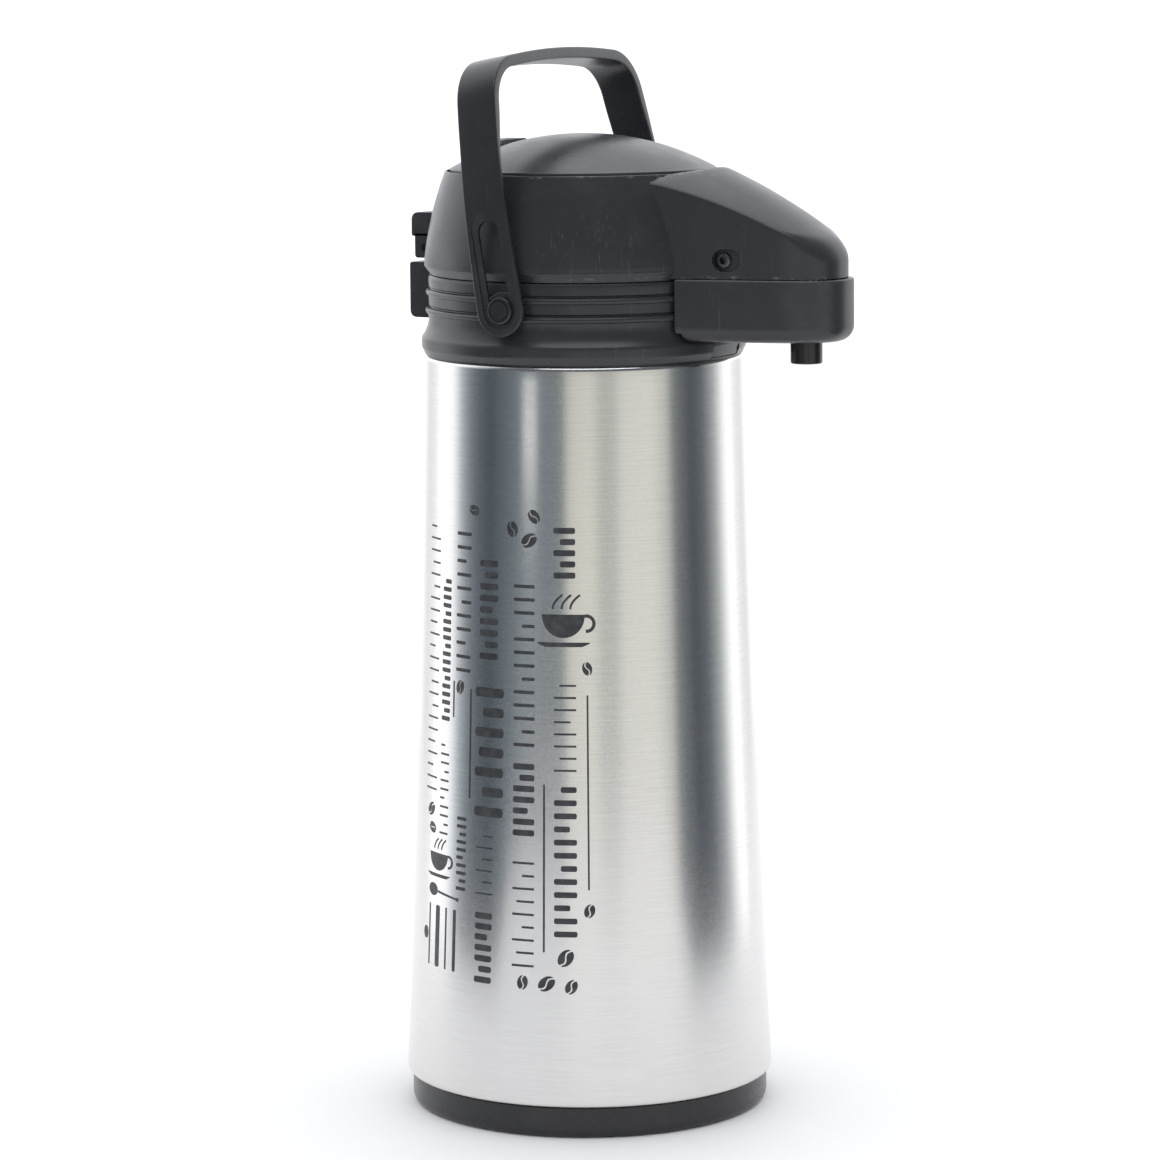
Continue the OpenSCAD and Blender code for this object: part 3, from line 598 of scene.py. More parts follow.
def collar_outline():
    outside = [(60.6, collar_low.z), (60.6, 293.55), (61.2, 293.6)]
    outside += arc((flange_r - 2.4, 296.9), 2.4, -38, 0, 6)
    outside += arc((flange_r - 2.4, 299.2), 2.4, 0, 52, 6)
    outside += bow((NECK_R + 0.9, 303.2), (NECK_R, 307.6), -0.25, 6)
    for height, rise in ((310.3, 1.2), (317.3, 1.0)):
        outside += arc((NECK_R + rise - 1.25, height), 1.25, -75, 82, 10)
        outside += [(NECK_R - 0.55, height + 1.45), (NECK_R - 0.6, height + 1.75),
                    (NECK_R - 0.1, height + 2.2)]
    outside += [(NECK_R, SEAM_Z - 1.3), (NECK_R - 0.15, SEAM_Z - 0.5), (NECK_R - 0.6, SEAM_Z)]
    inside = rounded(
        [(57, SEAM_Z), (57, 297), (26.5, 297), (26.5, 294), (57.6, 294), (57.6, collar_low.z)],
        [0.3, 1.0, 0.6, 0.4, 0.6, 0.3], 4)
    return outside + inside


def build_collar():
    collar = lathe("ridged_collar", collar_outline(), 256, 38)
    bosses = []
    for side in (-1, 1):
        profile = rounded([(0, 53.5), (7, 53.5), (7, 62.3), (0, 62.3)], [0, 0.5, 0.6, 0], 4, closed=True)
        bosses.append(turned_x("boss", profile, 0, pivot_z, side, 72))
    combine(collar, bosses, "UNION")
    half = cad("release_button")[1].x + 0.3
    cutters = [block("pocket", (-half, -66, 293.9), (half, -49.6, 301.3))]
    for side in (-1, 1):
        cutters.append(cylinder("journal", 4.25, *span(side, 50, 66), (0, pivot_z), "x", 64))
    combine(collar, [join("collar_cutters", cutters)], "DIFFERENCE")
    stop = block("spring_stop", (-6.4, -46, 296.9), (6.4, -44.5, 301.8))
    combine(collar, [stop], "UNION")
    clean(collar)
    shade(collar, 38)
    dress(collar, body_plastic, "charcoal_plastic", "flask_body", "collar")


def build_bracket():
    """The fixed half of the rear hinge: a block on the neck with a knuckle between the lid's ears."""
    half = bracket_high.x
    rear = bracket_high.y
    side = rounded([(54, 305.4), (rear, 305.4), (rear, 327), (54, 327)], [0.2, 3.0, 1.3, 0.2], 6, closed=True)
    body = slab("rear_hinge_bracket", side, -half, half, "x")
    bevel(body, 0.7, 50, 3)
    knuckle = cylinder("knuckle", 2.9, -5.7, 5.7, (hinge_y, hinge_z), "x", 64)
    web = block("web", (-5.7, 61.9, 326), (5.7, 66.5, hinge_z))
    combine(body, [web], "UNION")
    combine(body, [knuckle], "UNION")
    outline = [(r + 0.02, z) for r, z in collar_outline() if r > 58.5 and z < SEAM_Z]
    neck_side = [(0, 290), (outline[0][0], 290)] + outline + [(NECK_R, 330), (0, 330)]
    neck = lathe("neck_cutter", neck_side, 160)
    above = cylinder("lid_clearance", 61.8, SEAM_Z - 0.4, 345)
    bore = cylinder("bore", 1.51, -20, 20, (hinge_y, hinge_z), "x", 32)
    for cutter in (neck, above, bore):
        combine(body, [cutter], "DIFFERENCE")
    clean(body)
    shade(body)
    dress(body, body_plastic, "charcoal_plastic", "flask_body", "hinge_bracket")


# ---------------------------------------------------------------- carry handle

STRAP_T = 4.3
ARM_T = 2.2
SLOT_HALF = 4.4
SLOT_LEN = 29.4
RECESS_HALF = 6.9
RECESS_LEN = SLOT_LEN + 1.4
RECESS_DEPTH = 0.9
arm_x = handle_high.x
STRAP_HALF = 8.2
END_HALF = 9.8             # half the arm's width at the pin, narrowing to STRAP_HALF over TAPER
TAPER = 60


def strap_line():
    """Outer line of one half of the strap: (x, height above the pivot, direction in degrees)."""
    straight, rise, lean_r, corner_r, arch_r = 17.3, 61.2, 284, 20, 418
    lean = math.degrees(math.asin(rise / lean_r))
    end = (arm_x - lean_r * (1 - math.cos(lean * DEG)), straight + rise)
    corner = (end[0] - corner_r * math.cos(lean * DEG), end[1] - corner_r * math.sin(lean * DEG))
    arch = math.degrees(math.asin(corner[0] / (arch_r - corner_r)))
    arch_v = corner[1] - (arch_r - corner_r) * math.cos(arch * DEG)
    line = []
    for i in range(18):
        line.append((arm_x, -END_HALF + (END_HALF + straight) * (1 - math.cos(i / 18 * 90 * DEG)), 0))
    for i in range(25):
        a = lean * i / 24
        line.append((arm_x - lean_r * (1 - math.cos(a * DEG)), straight + lean_r * math.sin(a * DEG), a))
    for i in range(1, 19):
        a = lean + (90 - arch - lean) * i / 18
        line.append((corner[0] + corner_r * math.cos(a * DEG), corner[1] + corner_r * math.sin(a * DEG), a))
    for i in range(1, 17):
        a = 90 - arch + arch * i / 16
        line.append((arch_r * math.cos(a * DEG), arch_v + arch_r * math.sin(a * DEG), a))
    return line


def strap_thickness(v):
    t = max(0, min(1, (v - 50) / 26))
    return ARM_T + (STRAP_T - ARM_T) * t * t * (3 - 2 * t)


def strap_ring(x, v, angle):
    """The strap's rounded cross-section at one place along its outer line."""
    thick = strap_thickness(v)
    half = END_HALF + (STRAP_HALF - END_HALF) * max(0, min(1, v / TAPER))
    if v < 0:
        half = math.sqrt(max(0.02, END_HALF ** 2 - v ** 2))
    soft = min(0.85, thick * 0.38, half * 0.45)
    section = rounded([(-half, 0), (half, 0), (half, -thick), (-half, -thick)], soft, 4, closed=True)
    c, s = math.cos(angle * DEG), math.sin(angle * DEG)
    return [(x + depth * c, across, v + depth * s) for across, depth in section]


def build_handle():
    line = strap_line()
    rings = [strap_ring(*place) for place in line]
    rings += [[(-x, y, z) for x, y, z in ring] for ring in reversed(rings[:-1])]
    handle = loft("carry_handle_strap", rings, 40)
    cutters = []
    for side in (-1, 1):
        cutters.append(slab("slot", stadium(SLOT_HALF, 0, SLOT_LEN), *span(side, 54, 70), "x"))
        cutters.append(slab("recess", stadium(RECESS_HALF, 0, RECESS_LEN),
                            *span(side, arm_x - RECESS_DEPTH, 70), "x"))
    for cutter in cutters:
        combine(handle, [cutter], "DIFFERENCE")
    clean(handle)
    bevel(handle, 0.3, 55, 2)
    tilt = Matrix.Translation((0, 0, pivot_z * MM)) @ Matrix.Rotation(-handle_tilt, 4, "X")
    handle.data.transform(tilt)
    shade(handle, 40)
    dress(handle, handle_plastic, "handle_plastic", "handle", "carry_handle")


def build_pins():
    """Snap pins with a domed head and a thin groove outside each arm."""
    head_out = pins_high.x
    profile = [(0, 51.2), (6, 51.2), (6, 52.8), (4.2, 52.8), (4.2, head_out - 1.2), (5.2, head_out - 1.2)]
    profile += arc((4.4, head_out - 1.0), 0.8, 0, 76, 6)
    profile += [(4.2, head_out - 0.16), (4.0, head_out - 0.5), (3.7, head_out - 0.5), (3.5, head_out - 0.1),
                (2.0, head_out - 0.03), (0, head_out)]
    sides = [turned_x("pin", profile, 0, pivot_z, side, 64) for side in (-1, 1)]
    pins = join("handle_pins_pair", sides)
    clean(pins)
    shade(pins, 35)
    dress(pins, pin_plastic, "pin_plastic", "handle_pins", "handle_pivot_pins")


# ---------------------------------------------------------------- lid and spout

RIM_R = 52.1
LID_R = 61.3
rim_z = 363.5
WALL = 2.2
NOSE_LEN = 22
NOSE_POWER = 2.6
spout_reach = -lid_low.y
FLANK_SLOPE = (28.6 - 15.9) / 58
RIDGE_NEAR = (-50, 368.3)
RIDGE_FAR = (-109.6, 337.2)
RIDGE_BOW = 2.3


def spout_half(distance, reach, inset=0.0):
    """Half width of the spout at a distance in front of the axis."""
    width = 28.6 - FLANK_SLOPE * (distance - 52) - inset
    t = max(0.0, (distance - (reach - NOSE_LEN)) / NOSE_LEN)
    return width * max(0.0, 1 - t ** NOSE_POWER) ** (1 / NOSE_POWER)


def spout_outline(reach, inset=0.0, root=38.0, steps=26, flank=30):
    """Half of the plan, from the root to the nose, as (x, y) with x on the +X side."""
    half = []
    start = reach - NOSE_LEN
    for i in range(flank):
        d = root + (start - root) * i / flank
        half.append((spout_half(d, reach, inset), -d))
    for i in range(steps + 1):
        a = 90 * i / steps * DEG
        d = start + NOSE_LEN * math.sin(a)
        half.append((spout_half(d, reach, inset), -d))
    return half


def ridge_height(y):
    """Height of the spout's top over its centre line."""
    t = (y - RIDGE_NEAR[0]) / (RIDGE_FAR[0] - RIDGE_NEAR[0])
    straight = RIDGE_NEAR[1] + (RIDGE_FAR[1] - RIDGE_NEAR[1]) * t
    return straight + 4 * RIDGE_BOW * 1.13 * t * (1 - t)


def crown_height(x, y):
    """Height of the crowned top at a place in plan; its root starts level with the rim."""
    t = min(1.0, max(0.0, (-y - 50) / 55))
    radius = 52 - 11 * t
    crown = ridge_height(y) - (radius - math.sqrt(max(1.0, radius ** 2 - x ** 2)))
    root = rim_z - 0.25 + 0.48 * (math.hypot(x, y) - 52.45)
    blend = max(0.0, 1 - abs(crown - root) / 1.6)
    return min(crown, root) - 0.4 * blend ** 2


def spout_solid(name, reach, inset, drop, bottom, edge_side=1.0, edge_nose=5.5):
    """The wedge-shaped spout: upright flanks, a soft edge and a crowned top.

    Every ring follows the plan; rings climb the flank, turn over the edge and close on the ridge.
    """
    plan = whole(spout_outline(reach, inset))
    spine_end = -(reach - NOSE_LEN * 0.8)

    def edge_radius(y):
        t = min(1.0, max(0.0, (-y - (reach - 17)) / 14))
        return edge_side + (edge_nose - edge_side) * t * t * (3 - 2 * t)

    def top_ring(share_of, sunk):
        """A ring on the top: share_of(edge, way) says how far in it lies, and sunk how deep."""
        ring = []
        for x, y in plan:
            edge = edge_radius(y)
            way = Vector((-x, max(y, spine_end) - y))
            share = share_of(edge, max(way.length, 1e-6))
            px, py = x + way.x * share, y + way.y * share
            ring.append((px, py, crown_height(px, py) - drop - edge * sunk))
        return ring

    rings = []
    for share in (0, 0.25, 0.5, 0.75, 0.92):
        tops = [crown_height(x, y) - drop - edge_radius(y) for x, y in plan]
        rings.append([(x, y, bottom + (top - bottom) * share) for (x, y), top in zip(plan, tops)])
    for k in range(9):
        a = 90 * k / 8 * DEG
        rings.append(top_ring(lambda edge, way: min(edge * (1 - math.cos(a)) / way, 0.5), 1 - math.sin(a)))
    for part in (0.12, 0.25, 0.4, 0.55, 0.7, 0.85, 0.97):
        rings.append(top_ring(lambda edge, way: part + (1 - part) * min(edge / way, 0.5), 0))
    # the closing seam along the ridge: opposite points of the last ring are joined by quads
    n = len(plan)
    vertices = [p for ring in rings for p in ring]
    faces = []
    for i in range(len(rings) - 1):
        for k in range(n):
            m = (k + 1) % n
            faces.append((i * n + k, i * n + m, (i + 1) * n + m, (i + 1) * n + k))
    last = (len(rings) - 1) * n
    for k in range((n - 1) // 2):
        a, b, c, d = k, k + 1, n - 2 - k, n - 1 - k
        faces.append((last + a, last + b, last + c, last + d) if b != c else (last + a, last + b, last + d))
        faces.append((d, c, b, a) if b != c else (d, b, a))
    return piece_from(name, vertices, faces, 40)


def dome_outline():
    outside = rounded([(59.1, lid_low.z), (59.2, lid_low.z + 0.3), (LID_R, 327.5), (LID_R - 0.15, 328.4)],
                      [0.2, 0.2, 0.8, 0], 4)
    outside += bow((LID_R - 0.02, 328.0), (53.15, rim_z - 1.1), 1.2, 40)[1:]
    outside += [(53.0, rim_z - 0.55), (52.75, rim_z - 0.12), (52.45, rim_z), (RIM_R, rim_z - 0.1)]
    return outside


def dome_inner_outline():
    return [(56.9, lid_low.z - 1)] + bow((58.9, 328.6), (52.3, 360.6), 1.0, 24) + [(RIM_R, 362), (RIM_R, 380)]


def build_lid():
    outline = dome_outline()
    dome = lathe("lid_and_spout", [(0, lid_low.z)] + outline + [(0, rim_z - 0.1)], 256, 40)
    spout = spout_solid("spout", spout_reach, 0, 0, lid_low.z + 0.7)
    combine(dome, [spout], "UNION")
    ears = []
    for side in (-1, 1):
        ear_side = rounded([(58, 328.6), (hinge_y + 4.3, 328.6), (hinge_y + 4.3, 338), (58, 338)],
                           [0, 1.4, 0, 0], 5, closed=True)
        ears.append(slab("ear_link", ear_side, *span(side, 6.0, 12.0), "x"))
    cap_side = rounded([(50, 337), (lid_high.y, 337), (lid_high.y, 346.3), (50, 346.3)],
                       [0.2, 0.8, 3.2, 0.2], 6, closed=True)
    hood = slab("hood", cap_side, -12, 12, "x")
    bevel(hood, 0.8, 50, 3)
    for part in ears:
        combine(hood, [part], "UNION")
    combine(dome, [hood], "UNION")
    # hollow, with the opening for the pad
    inner = lathe("inner", [(0, lid_low.z - 1)] + dome_inner_outline() + [(0, 380)], 256, 40)
    combine(dome, [inner], "DIFFERENCE")
    throat = spout_solid("throat", spout_reach - WALL, WALL, WALL, lid_low.z - 1, 0.6, 3.5)
    combine(dome, [throat], "DIFFERENCE")
    # notch for the fixed knuckle, pin bore and screw recesses
    notch = block("notch", (-6.0, 61, lid_low.z - 1), (6.0, 72, hinge_z))
    knuckle = cylinder("knuckle_room", 3.4, -6.0, 6.0, (hinge_y, hinge_z), "x", 64)
    bore = cylinder("pin_bore", 1.55, -20, 20, (hinge_y, hinge_z), "x", 32)
    for cutter in (notch, knuckle, bore):
        combine(dome, [cutter], "DIFFERENCE")
    for side in (-1, 1):
        floor_x = screw_high.x - 1.5
        tube = cylinder("pivot_boss", 4.9, *span(side, 15, floor_x + 0.6), (press_y, press_z), "x", 64)
        combine(dome, [tube], "UNION")
        outline = [(press_y - 0.4 + y, z) for y, z in arc((0, press_z), 4.2, -90, 90, 20)]
        outline += [(press_y - 2.7 + y, z) for y, z in arc((0, press_z), 4.2, 90, 270, 20)]
        recess = slab("recess", outline, *span(side, floor_x, 32), "x")
        combine(dome, [recess], "DIFFERENCE")
        hole = cylinder("pivot_hole", 2.01, *span(side, 14, 30), (press_y, press_z), "x", 40)
        combine(dome, [hole], "DIFFERENCE")
    clean(dome)
    shade(dome, 34)
    dress(dome, lid_plastic, "charcoal_plastic", "lid", "lid_shell")


def build_lower_cover():
    """The box under the spout, with a soft lower edge, cut to fit round the ridged neck."""
    reach = -cover_low.y
    low, high = cover_low.z, cover_high.z
    grow = 0.6

    def plan_at(inset):
        return whole(spout_outline(reach - inset, inset - grow))

    loops = []
    edge = 6.0
    for k in range(9):
        a = 90 * k / 8 * DEG
        inset = edge * (1 - math.sin(a))
        loops.append([(x, y, low + edge * (1 - math.cos(a))) for x, y in plan_at(inset)])
    for inset, z in ((0, high - 4), (0, high - 0.5), (0.45, high)):
        loops.append([(x, y, z) for x, y in plan_at(inset)])
    cover = loft("spout_under_cover", loops, 40)
    hollow = slab("hollow", plan_at(WALL), low + WALL + 1, high + 3)
    keep = cylinder("keep", 64.6, low - 5, high + 8, segments=128)
    combine(hollow, [keep], "DIFFERENCE")
    combine(cover, [hollow], "DIFFERENCE")
    cutters = [
        cylinder("neck_room", 61.6, low - 6, high + 6, segments=192),
        cylinder("flange_room", 63, low - 6, 304.5, segments=192),
        cylinder("nozzle_hole", 6.1, low - 6, low + 4, (0, (nozzle_low.y + nozzle_high.y) / 2), segments=64),
    ]
    for cutter in cutters:
        combine(cover, [cutter], "DIFFERENCE")
    for side in (-1, 1):
        hole = cylinder("screw_hole", 3, low - 2, low + 2.9, (13 * side, -88), segments=40)
        combine(cover, [hole], "DIFFERENCE")
    clean(cover)
    shade(cover, 34)
    dress(cover, lid_plastic, "charcoal_plastic", "lid", "spout_lower_cover")


def build_nozzle():
    y = (nozzle_low.y + nozzle_high.y) / 2
    low, high = nozzle_low.z - 0.9, nozzle_high.z
    profile = rounded([(4.0, low), (6.05, low), (6.05, 303.3), (7.4, 303.3), (7.4, high), (4.0, high)],
                      [0.5, 0.7, 0.3, 0.3, 0.3, 0.3], 5, closed=True)
    tube = lathe("outlet_nozzle", profile, 96)
    tube.data.transform(Matrix.Translation((0, y * MM, 0)))
    dress(tube, nozzle_plastic, "nozzle_plastic", "lid", "nozzle")


SOCKET_R = 1.5
SOCKET_DEPTH = 2.2


def build_pivot_screws():
    """Pan-head screws with a hexagon socket."""
    head_out = screw_high.x
    profile = [(0, 10.6), (1.7, 10.6), (2.0, 10.9), (2.0, head_out - 1.5), (2.85, head_out - 1.5)]
    profile += arc((2.25, head_out - 0.6), 0.6, 0, 80, 5) + [(0, head_out)]
    sides = []
    for side in (-1, 1):
        screw = turned_x("screw", profile, press_y, press_z, side, 56)
        depth = span(side, head_out - SOCKET_DEPTH, head_out + 1)
        socket = cylinder("socket", SOCKET_R, *depth, (press_y, press_z), "x", 6)
        combine(screw, [socket], "DIFFERENCE")
        sides.append(screw)
    screws = join("pad_pivot_screws", sides)
    clean(screws)
    shade(screws, 30)
    dress(screws, dark_screw, "zinc_screw", "lid", "pivot_screws")


# ---------------------------------------------------------------- push pad and lock

PAD_SPHERE = 106.0
PAD_R = 50.9


def build_pad():
    centre = pad_high.z - PAD_SPHERE
    edge = math.degrees(math.acos((PAD_R - 0.8) / PAD_SPHERE))
    outside = arc((0, centre), PAD_SPHERE, 90, edge, 36)
    rim = centre + math.sqrt(PAD_SPHERE ** 2 - PAD_R ** 2)
    outside += rounded([outside[-1], (PAD_R, rim + 0.1), (PAD_R, rim - 2.0), (PAD_R - 0.3, rim - 2.0)],
                       [0, 0.9, 0.3, 0], 5)[1:]
    inner_edge = math.degrees(math.acos((PAD_R - 2.4) / (PAD_SPHERE - 2.5)))
    inside = [(PAD_R - 2.2, rim - 2.0)] + arc((0, centre), PAD_SPHERE - 2.5, inner_edge, 90, 18)
    inside[-1] = (0, inside[-1][1])
    outside[0] = (0, outside[0][1])
    pad = lathe("push_pad_dome", outside + inside, 224, 40)
    arms = []
    lean = math.atan2(-48 - press_y, 356 - press_z)
    for side in (-1, 1):
        across = span(side, 11, 14)
        hub = cylinder("hub", 4, *across, (press_y, press_z), "x", 48)
        bar_outline = [(press_y + u * math.cos(lean) + v * math.sin(lean),
                        press_z - u * math.sin(lean) + v * math.cos(lean))
                       for u, v in ((-2.6, 0), (2.6, 0), (2.6, 33), (-2.6, 33))]
        bar = slab("bar", bar_outline, *across, "x")
        post = block("post", (across[0], -49.2, 352), (across[1], -45.8, 363.2))
        combine(hub, [bar], "UNION")
        combine(hub, [post], "UNION")
        top = block("trim", (-20, -80, 363.2), (20, -30, 390))
        combine(hub, [top], "DIFFERENCE")
        hole = cylinder("hole", 2.05, -30, 30, (press_y, press_z), "x", 32)
        combine(hub, [hole], "DIFFERENCE")
        arms.append(hub)
    for arm in arms:
        combine(pad, [arm], "UNION")
    # tray that holds the lock slide
    lock_y = (lock_low.y + lock_high.y) / 2
    floor = lock_low.z + 4
    half = lock_high.x
    tray = block("tray", (-half - 2.5, lock_y - 6.8, floor - 2.4), (half + 8.5, lock_y + 6.8, floor + 4))
    ball = lathe("ball", [(0, centre)] + arc((0, centre), PAD_SPHERE - 1.2, 0, 90, 48)[20:], 96)
    combine(tray, [ball], "INTERSECT")
    combine(pad, [tray], "UNION")
    outline = rounded([(-half - 0.3, lock_y - 4.4), (half + 6.3, lock_y - 4.4),
                       (half + 6.3, lock_y + 4.4), (-half - 0.3, lock_y + 4.4)], 1.0, 4, closed=True)
    combine(pad, [slab("slide_room", outline, floor, 385)], "DIFFERENCE")
    combine(pad, [block("stem_room", (-3.3, lock_y - 2.3, 358), (9.3, lock_y + 2.3, 370))], "DIFFERENCE")
    clean(pad)
    shade(pad, 36)
    dress(pad, pad_plastic, "pad_plastic", "pad", "push_pad")


def build_lock():
    """The lock slide: a low bridge with sloped ends and finger ribs on its crest."""
    low, high = lock_low.z + 4.1, lock_high.z
    half = lock_high.x
    y0, y1 = lock_low.y, lock_high.y
    side = rounded([(-half, low), (half, low), (half, low + 2.2), (half - 5, high),
                    (-half + 5, high), (-half, low + 2.2)], [0.2, 0.2, 0.8, 1.8, 1.8, 0.8], 5, closed=True)
    slide = slab("pad_lock_slide", side, y0, y1, "y")
    bevel(slide, 0.6, 40, 3)
    ribs = [block("rib_gap", (x - 0.35, y0 - 1, high - 0.4), (x + 0.35, y1 + 1, high + 1))
            for x in (-6, -4, -2, 0, 2, 4, 6)]
    combine(slide, [join("rib_gaps", ribs)], "DIFFERENCE")
    middle = (y0 + y1) / 2
    combine(slide, [block("stem", (-3, middle - 2, lock_low.z), (3, middle + 2, low + 1))], "UNION")
    clean(slide)
    shade(slide, 34)
    dress(slide, pad_plastic, "pad_plastic", "lock", "pump_lock_slide")


# ---------------------------------------------------------------- soft parts in their CAD shape

def build_flexing(node, name, material, axis, ends):
    """A soft part with its CAD shape at rest, which follows no body."""
    obj = bpy.data.objects.new(name, frame["nodes"][node].data.copy())
    bpy.context.scene.collection.objects.link(obj)
    clean(obj)
    shade(obj)
    obj.data.materials.clear()
    obj.data.materials.append(material)
    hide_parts(node)
    start, end = Vector((0, 0, 0)), Vector((0, 0, 0))
    start[axis], end[axis] = ends[0] * MM, ends[1] * MM
    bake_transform(obj)


def build_bellows_and_springs():
    low, high = (corner.z for corner in cad("bellows"))
    build_flexing("bellows", "folded_bellows", bellows_rubber, 2, (low, high))
    build_flexing("bellows_spring", "pad_return_spring", spring_metal, 2, (low, high))
    front, back = (corner.y for corner in cad("release_spring"))
    build_flexing("release_spring", "button_return_spring", spring_metal,
                  1, (back, front))


# ---------------------------------------------------------------- printed pattern

PRINT_SIDE = math.pi       # the print faces -X, under one arm of the handle
INK_LIFT = 0.09


def on_shell(u, z, lift):
    """A place on the steel: u millimetres round from the print's centre line, at height z."""
    radius = shell_radius(z) + lift
    angle = PRINT_SIDE + u / 65.0
    return (radius * math.cos(angle), radius * math.sin(angle), z)


def placed(outline, u, z, turn=0.0, scale=1.0):
    c, s = math.cos(turn * DEG) * scale, math.sin(turn * DEG) * scale
    return [(u + x * c - y * s, z + x * s + y * c) for x, y in outline]


def band(line, width):
    """A ribbon of an even width along a line."""
    left, right = [], []
    for i, p in enumerate(line):
        a, b = line[max(0, i - 1)], line[min(len(line) - 1, i + 1)]
        dx, dy = b[0] - a[0], b[1] - a[1]
        length = math.hypot(dx, dy)
        nx, ny = -dy / length * width / 2, dx / length * width / 2
        left.append((p[0] + nx, p[1] + ny))
        right.append((p[0] - nx, p[1] - ny))
    return left + right[::-1]


def bean(u, z, size, turn):
    """A roasted bean: two halves of an oval, either side of a curved slit."""
    halves = []
    slit = [0.11 * math.sin(t * math.pi) for t in (-1, -0.75, -0.5, -0.25, 0, 0.25, 0.5, 0.75, 1)]
    for side in (-1, 1):
        edge = [(side * 0.36 * math.sin(a * DEG), -0.5 * math.cos(a * DEG)) for a in range(14, 167, 8)]
        cut = [(slit[k] + side * 0.045, 0.46 - 0.92 * k / 8) for k in range(9)]
        halves.append(placed(edge + cut, u, z, turn, size))
    return halves


def cup(u, z, size):
    """A low cup with an ear, on a saucer, under three bent wisps of steam."""
    bowl = [(-0.5, 0.32), (0.5, 0.32)] + arc((0, 0.28), 0.48, -8, -172, 16)
    ear = band(arc((0.52, 0.12), 0.17, 100, -95, 12), 0.075)
    saucer = rounded([(-0.66, -0.30), (0.66, -0.30), (0.42, -0.40), (-0.42, -0.40)], 0.04, 4, closed=True)
    wisps = [band([(x + 0.0045 * t * t, 0.44 + 0.045 * t) for t in range(8)], 0.05)
             for x in (-0.24, -0.04, 0.16)]
    return [placed(o, u, z, 0, size) for o in [bowl, ear, saucer] + wisps]


def spoon(u, z, size, turn):
    bowl = [(0.13 * math.cos(a * DEG), 0.36 + 0.17 * math.sin(a * DEG)) for a in range(-80, 261, 12)]
    stem = [(-0.025, 0.17), (-0.02, -0.40), (-0.045, -0.5), (0.045, -0.5), (0.02, -0.40), (0.025, 0.17)]
    return [placed(o, u, z, turn, size) for o in (bowl, stem)]


def rungs(u, width, low, high, pitch, weight, rhythm):
    """A ladder of plain rounded bars across a column, some of them shorter."""
    bars = []
    z, k = low + weight / 2, 0
    while z <= high - weight / 2 + 1e-6:
        share = rhythm[k % len(rhythm)]
        half = width * share / 2
        shift = (width / 2 - half) * (1 if k % 2 else -1)
        box = [(-half, -weight / 2), (half, -weight / 2), (half, weight / 2), (-half, weight / 2)]
        bars.append(placed(rounded(box, weight * 0.35, 3, closed=True), u + shift, z))
        z += pitch
        k += 1
    return bars


def rail(u, low, high, weight):
    return [placed(rounded([(-weight / 2, low), (weight / 2, low), (weight / 2, high), (-weight / 2, high)],
                           weight * 0.4, 3, closed=True), u, 0)]


# ladders of bars, as (centre, width, low, high, pitch, weight, lengths in turn)
LADDERS = [
    (-40.5, 8.5, 128, 231, 4.6, 0.75, (1, 1, 0.6, 1, 0.75)),
    (-30.5, 5.5, 156, 212, 3.1, 1.7, (1, 0.7, 1, 1)),
    (-30.5, 5.5, 112, 150, 3.4, 0.8, (1, 0.5, 1)),
    (-20.0, 8.0, 176, 231, 5.2, 1.3, (1, 1, 0.65)),
    (-6.5, 13.0, 122, 176, 7.6, 3.6, (1, 0.72, 1, 0.86)),
    (-7.0, 8.5, 182, 222, 4.4, 2.4, (1, 0.7, 1)),
    (8.5, 8.5, 150, 214, 5.0, 1.25, (1, 0.6, 1, 1)),
    (8.5, 8.5, 116, 144, 4.2, 2.3, (1, 1, 0.7)),
    (8.5, 8.5, 66, 110, 4.9, 0.85, (1, 0.8, 1, 0.55)),
    (24.5, 8.5, 141, 178, 4.6, 0.75, (1, 0.75, 1)),
    (24.5, 8.5, 78, 136, 5.0, 2.2, (1, 1, 0.7)),
    (24.5, 8.5, 214, 236, 4.2, 2.3, (1, 0.7)),
    (-8.0, 7.5, 58, 88, 4.1, 2.4, (1, 0.75, 1)),
    (-8.0, 7.5, 92, 116, 4.4, 0.6, (1, 0.6)),
    (-19.5, 5.0, 92, 122, 3.0, 1.3, (1, 0.7, 1)),
]
# upright lines, as (centre, low, high, weight)
RAILS = [
    (-33.0, 60, 84, 2.6), (-27.5, 60, 84, 0.8), (-22.5, 60, 84, 1.5), (-39.0, 60, 84, 0.8),
    (-15.5, 128, 170, 0.7), (16.5, 72, 136, 0.7), (-25.2, 158, 172, 0.7), (33.0, 96, 170, 0.7),
]


def print_outlines():
    marks = []
    for ladder in LADDERS:
        marks += rungs(*ladder)
    for line in RAILS:
        marks += rail(*line)
    marks += cup(24.0, 195, 17)
    marks += cup(-33.5, 100, 13)
    marks += spoon(-30.0, 89, 19, 84)
    for u, z, size, turn in ((3.5, 232, 6.2, 12), (10.5, 228, 6.8, -58), (12.5, 237, 5.8, 38),
                             (-40.0, 120.5, 6.2, -48), (-38.5, 113.5, 5.4, 64),
                             (-21.5, 170, 5.6, -20), (-14.5, 238, 5.2, 70), (24.5, 70, 7.2, -35),
                             (17.5, 60, 7.0, -50), (26.5, 59, 5.8, -28), (8.5, 60, 5.6, -10),
                             (-42.0, 72, 5.0, 5), (33.0, 180, 5.2, 15), (33.2, 88, 5.4, -18)):
        marks += bean(u, z, size, turn)
    return marks


